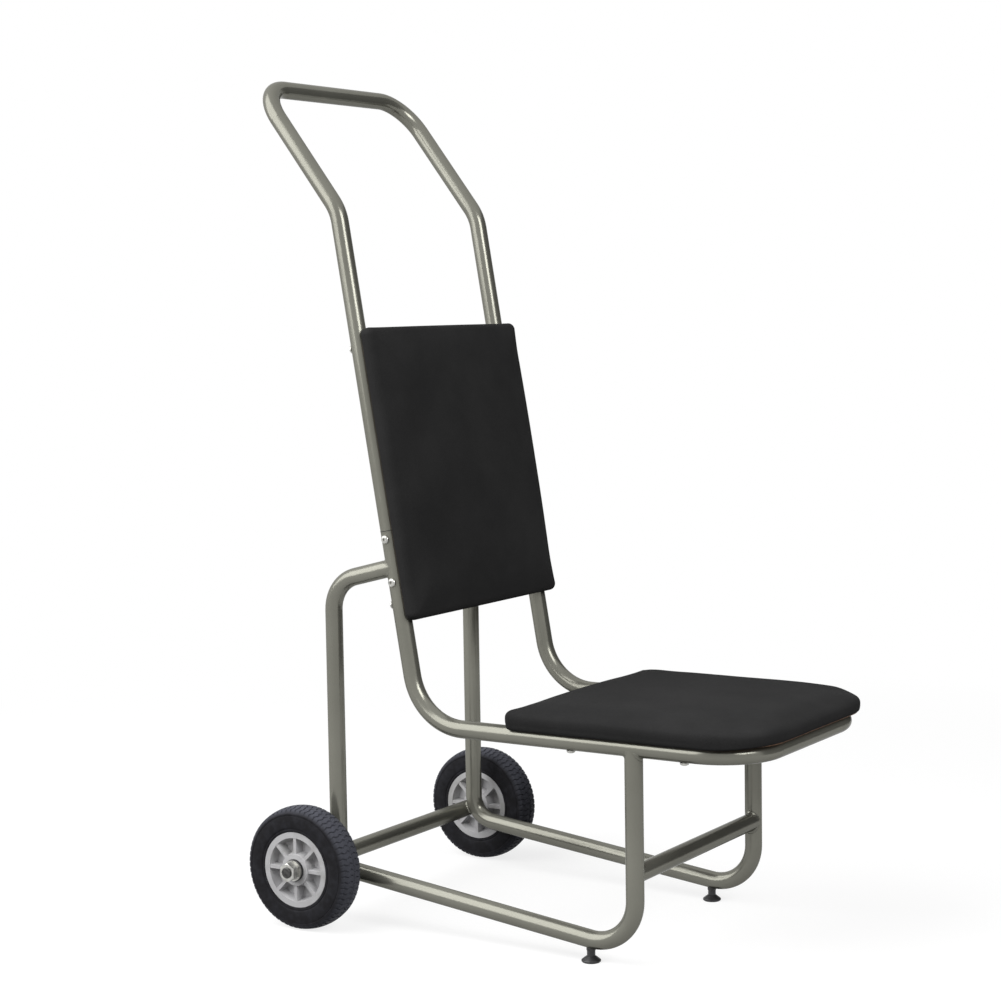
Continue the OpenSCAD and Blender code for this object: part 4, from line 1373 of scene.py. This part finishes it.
@dataclass
class Studio:
    """Camera, white floor, soft lamps and pale surroundings.

    Attributes:
        eye: camera's place in metres
        yaw: turn of its view from +Y towards -X, radians
        pitch: rise of its view, radians
        roll: turn about its view, radians
        focal_pixels: focal length in pixels of the picture
        picture_pixels: width of the picture
        floor_radius: radius of the floor
        shadow_start: radius where the floor's shadow starts to fade
        shadow_end: radius where it has faded
        fill: strength of the surroundings that light the object
        bounce: colour of the light that the floor throws back
        card_place: middle of the dark card's lower edge, outside the picture on the right
        card_size: width and height of the card
        card_colour: colour of the card
        lamps: the soft lamps
        view_reach: how far the camera sees
        floor_steps: points round the floor
        shadow_colour: colour of the floor that takes the shadow
        shadow_glow: strength of its own light, which keeps the shadow pale
    """

    eye: tuple[float, float, float] = (-2.7466, -1.6557, 0.8996)
    yaw: float = math.radians(-57.325)
    pitch: float = math.radians(-5.049)
    roll: float = math.radians(-0.916)
    focal_pixels: float = 2218.6
    picture_pixels: float = 1001.0
    floor_radius: float = 60.0
    shadow_start: float = 0.9
    shadow_end: float = 2.2
    fill: float = 0.25
    bounce: Colour = (0.06, 0.06, 0.056)
    card_place: tuple[float, float] = (1.7, -1.6)
    card_size: tuple[float, float] = (4.4, 2.6)
    card_colour: Colour = (0.02, 0.02, 0.02)
    lamps: tuple[SoftBox, ...] = (SoftBox("key_box", (-2.2, 1.85, 2.55), (4.0, 4.0), 190.0),
                                  SoftBox("front_box", (-1.0, -2.6, 2.2), (1.5, 1.5), 66.0))
    view_reach: float = 200.0
    floor_steps: int = 96
    shadow_colour: Colour = (0.25, 0.25, 0.25)
    shadow_glow: float = 0.8

    def build(self) -> None:
        """Sets up the whole studio."""
        self.add_camera()
        self.add_floor()
        self.add_world()
        self.add_card()
        for lamp in self.lamps:
            lamp.build()
        bpy.context.scene.view_settings.view_transform = "Standard"

    def add_camera(self) -> None:
        """Places the camera at the photograph's viewing angle."""
        flat = math.cos(self.pitch)
        ahead = Vector((-math.sin(self.yaw) * flat, math.cos(self.yaw) * flat, math.sin(self.pitch)))
        level = Vector((math.cos(self.yaw), math.sin(self.yaw), 0.0))
        upright = level.cross(ahead)
        right = level * math.cos(self.roll) + upright * math.sin(self.roll)
        up = upright * math.cos(self.roll) - level * math.sin(self.roll)
        camera = bpy.data.objects.new("camera", bpy.data.cameras.new("camera"))
        axes = Matrix((right, up, -ahead)).transposed().to_4x4()
        camera.matrix_world = Matrix.Translation(self.eye) @ axes
        camera.data.lens = self.focal_pixels / self.picture_pixels * camera.data.sensor_width
        camera.data.clip_end = self.view_reach
        bpy.context.scene.collection.objects.link(camera)
        bpy.context.scene.camera = camera

    def shown_to_eye(self, tree: bpy.types.NodeTree) -> bpy.types.NodeSocket:
        """Gives 1 for rays that show the background, straight, mirrored or through glass."""
        path = tree.nodes.new("ShaderNodeLightPath")
        shown = path.outputs["Is Camera Ray"]
        for ray in ("Is Glossy Ray", "Is Transmission Ray"):
            either = tree.nodes.new("ShaderNodeMath")
            either.operation = "MAXIMUM"
            tree.links.new(shown, either.inputs[0])
            tree.links.new(path.outputs[ray], either.inputs[1])
            shown = either.outputs["Value"]
        return shown

    def add_world(self) -> None:
        """Makes the surroundings: white to the eye, dimmer as light."""
        world = bpy.data.worlds.new("surroundings")
        bpy.context.scene.world = world
        world.use_nodes = True
        tree = world.node_tree
        light = tree.nodes["Background"]
        light.inputs["Color"].default_value = WHITE
        light.inputs["Strength"].default_value = self.fill
        seen = tree.nodes.new("ShaderNodeBackground")
        seen.inputs["Strength"].default_value = 1.0
        seen.inputs["Color"].default_value = WHITE
        mixed = blend(tree, self.shown_to_eye(tree), light.outputs[0], seen.outputs[0])
        tree.links.new(mixed, tree.nodes["World Output"].inputs["Surface"])

    def floor_material(self) -> bpy.types.Material:
        """Makes the floor's material: white, with the object's shadow near it."""
        graph = NodeGraph("white_floor")
        tree = graph.tree
        tree.nodes.remove(graph.shader)
        plain = graph.add("ShaderNodeBsdfDiffuse", {"Color": (*self.bounce, 1.0)})
        shadowed = graph.add("ShaderNodeBsdfDiffuse", {"Color": (*self.shadow_colour, 1.0)})
        glow = graph.add("ShaderNodeEmission", {"Strength": self.shadow_glow})
        near = graph.add("ShaderNodeAddShader")
        graph.join(shadowed.outputs[0], near.inputs[0])
        graph.join(glow.outputs[0], near.inputs[1])
        white = graph.add("ShaderNodeEmission", {"Strength": 1.0})
        distance = graph.add("ShaderNodeVectorMath", operation="LENGTH")
        graph.join(graph.coords, distance.inputs[0])
        fade = graph.span(distance.outputs["Value"], low=0.0, high=1.0, start=self.shadow_start,
                          end=self.shadow_end)
        shown = blend(tree, fade, near.outputs[0], white.outputs[0])
        mixed = blend(tree, self.shown_to_eye(tree), plain.outputs[0], shown)
        graph.join(mixed, tree.nodes["Material Output"].inputs["Surface"])
        return graph.material

    def add_floor(self) -> None:
        """Lays the floor."""
        steps = self.floor_steps
        edge = self.floor_radius * circle(full_turn(steps), X_AXIS, Y_AXIS)
        faces = [(0, 1 + step, 1 + (step + 1) % steps) for step in range(steps)]
        floor = new_object("floor", np.vstack([np.zeros(3), edge]), faces)
        floor.data.materials.append(self.floor_material())

    def add_card(self) -> None:
        """Stands a dark card beside the object, which gives the tubes their dark edges."""
        middle = Vector((*self.card_place, 0.0))
        along = middle.normalized().cross(Vector((0.0, 0.0, 1.0))) * self.card_size[0] / 2
        up = Vector((0.0, 0.0, self.card_size[1]))
        corners = [middle - along, middle + along, middle + along + up, middle - along + up]
        card = new_object("dark_card", corners, [(0, 1, 2, 3)])
        graph = NodeGraph("dark_card")
        graph.shade(Base_Color=(*self.card_colour, 1.0), Roughness=1.0, Specular_IOR_Level=0.0)
        card.data.materials.append(graph.material)
        card.visible_camera = False


def write_sizes() -> None:
    """Brings the view layer up to date."""
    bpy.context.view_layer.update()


def main() -> None:
    """Builds the studio and every piece of the trolley, in order."""
    logging.basicConfig(level=logging.INFO, format="%(name)s: %(message)s")
    Studio().build()
    TubeFrame().build()
    low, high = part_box("axle_rod")
    rubber = TyreRubber(axle_y=(low.y + high.y) / 2, axle_z=(low.z + high.z) / 2)
    for side in Side:
        Wheel(side, rubber).build()
    Hardware().build()
    Feet().build()
    Boards().build()
    Cushion("seat_pad", "seat_cushion", "seat_board", pitch=0.0, low_radius=0.088, high_radius=0.009,
            low_lip=-0.0012, side_lip=0.0058, high_lip=0.0012, low_drop=0.003, drop_reach=0.14,
            edge_round=0.013, edge_height=0.011).build()
    Cushion("back_pad", "back_cushion", "back_board", pitch=math.pi / 2 - UPRIGHT_LEAN, low_radius=0.01,
            high_radius=0.01, low_lip=0.0012, side_lip=0.0012, high_lip=0.0012, low_drop=0.0, drop_reach=0.14,
            edge_round=0.011, edge_height=0.01).build()
    write_sizes()


if __name__ == "__main__":
    main()
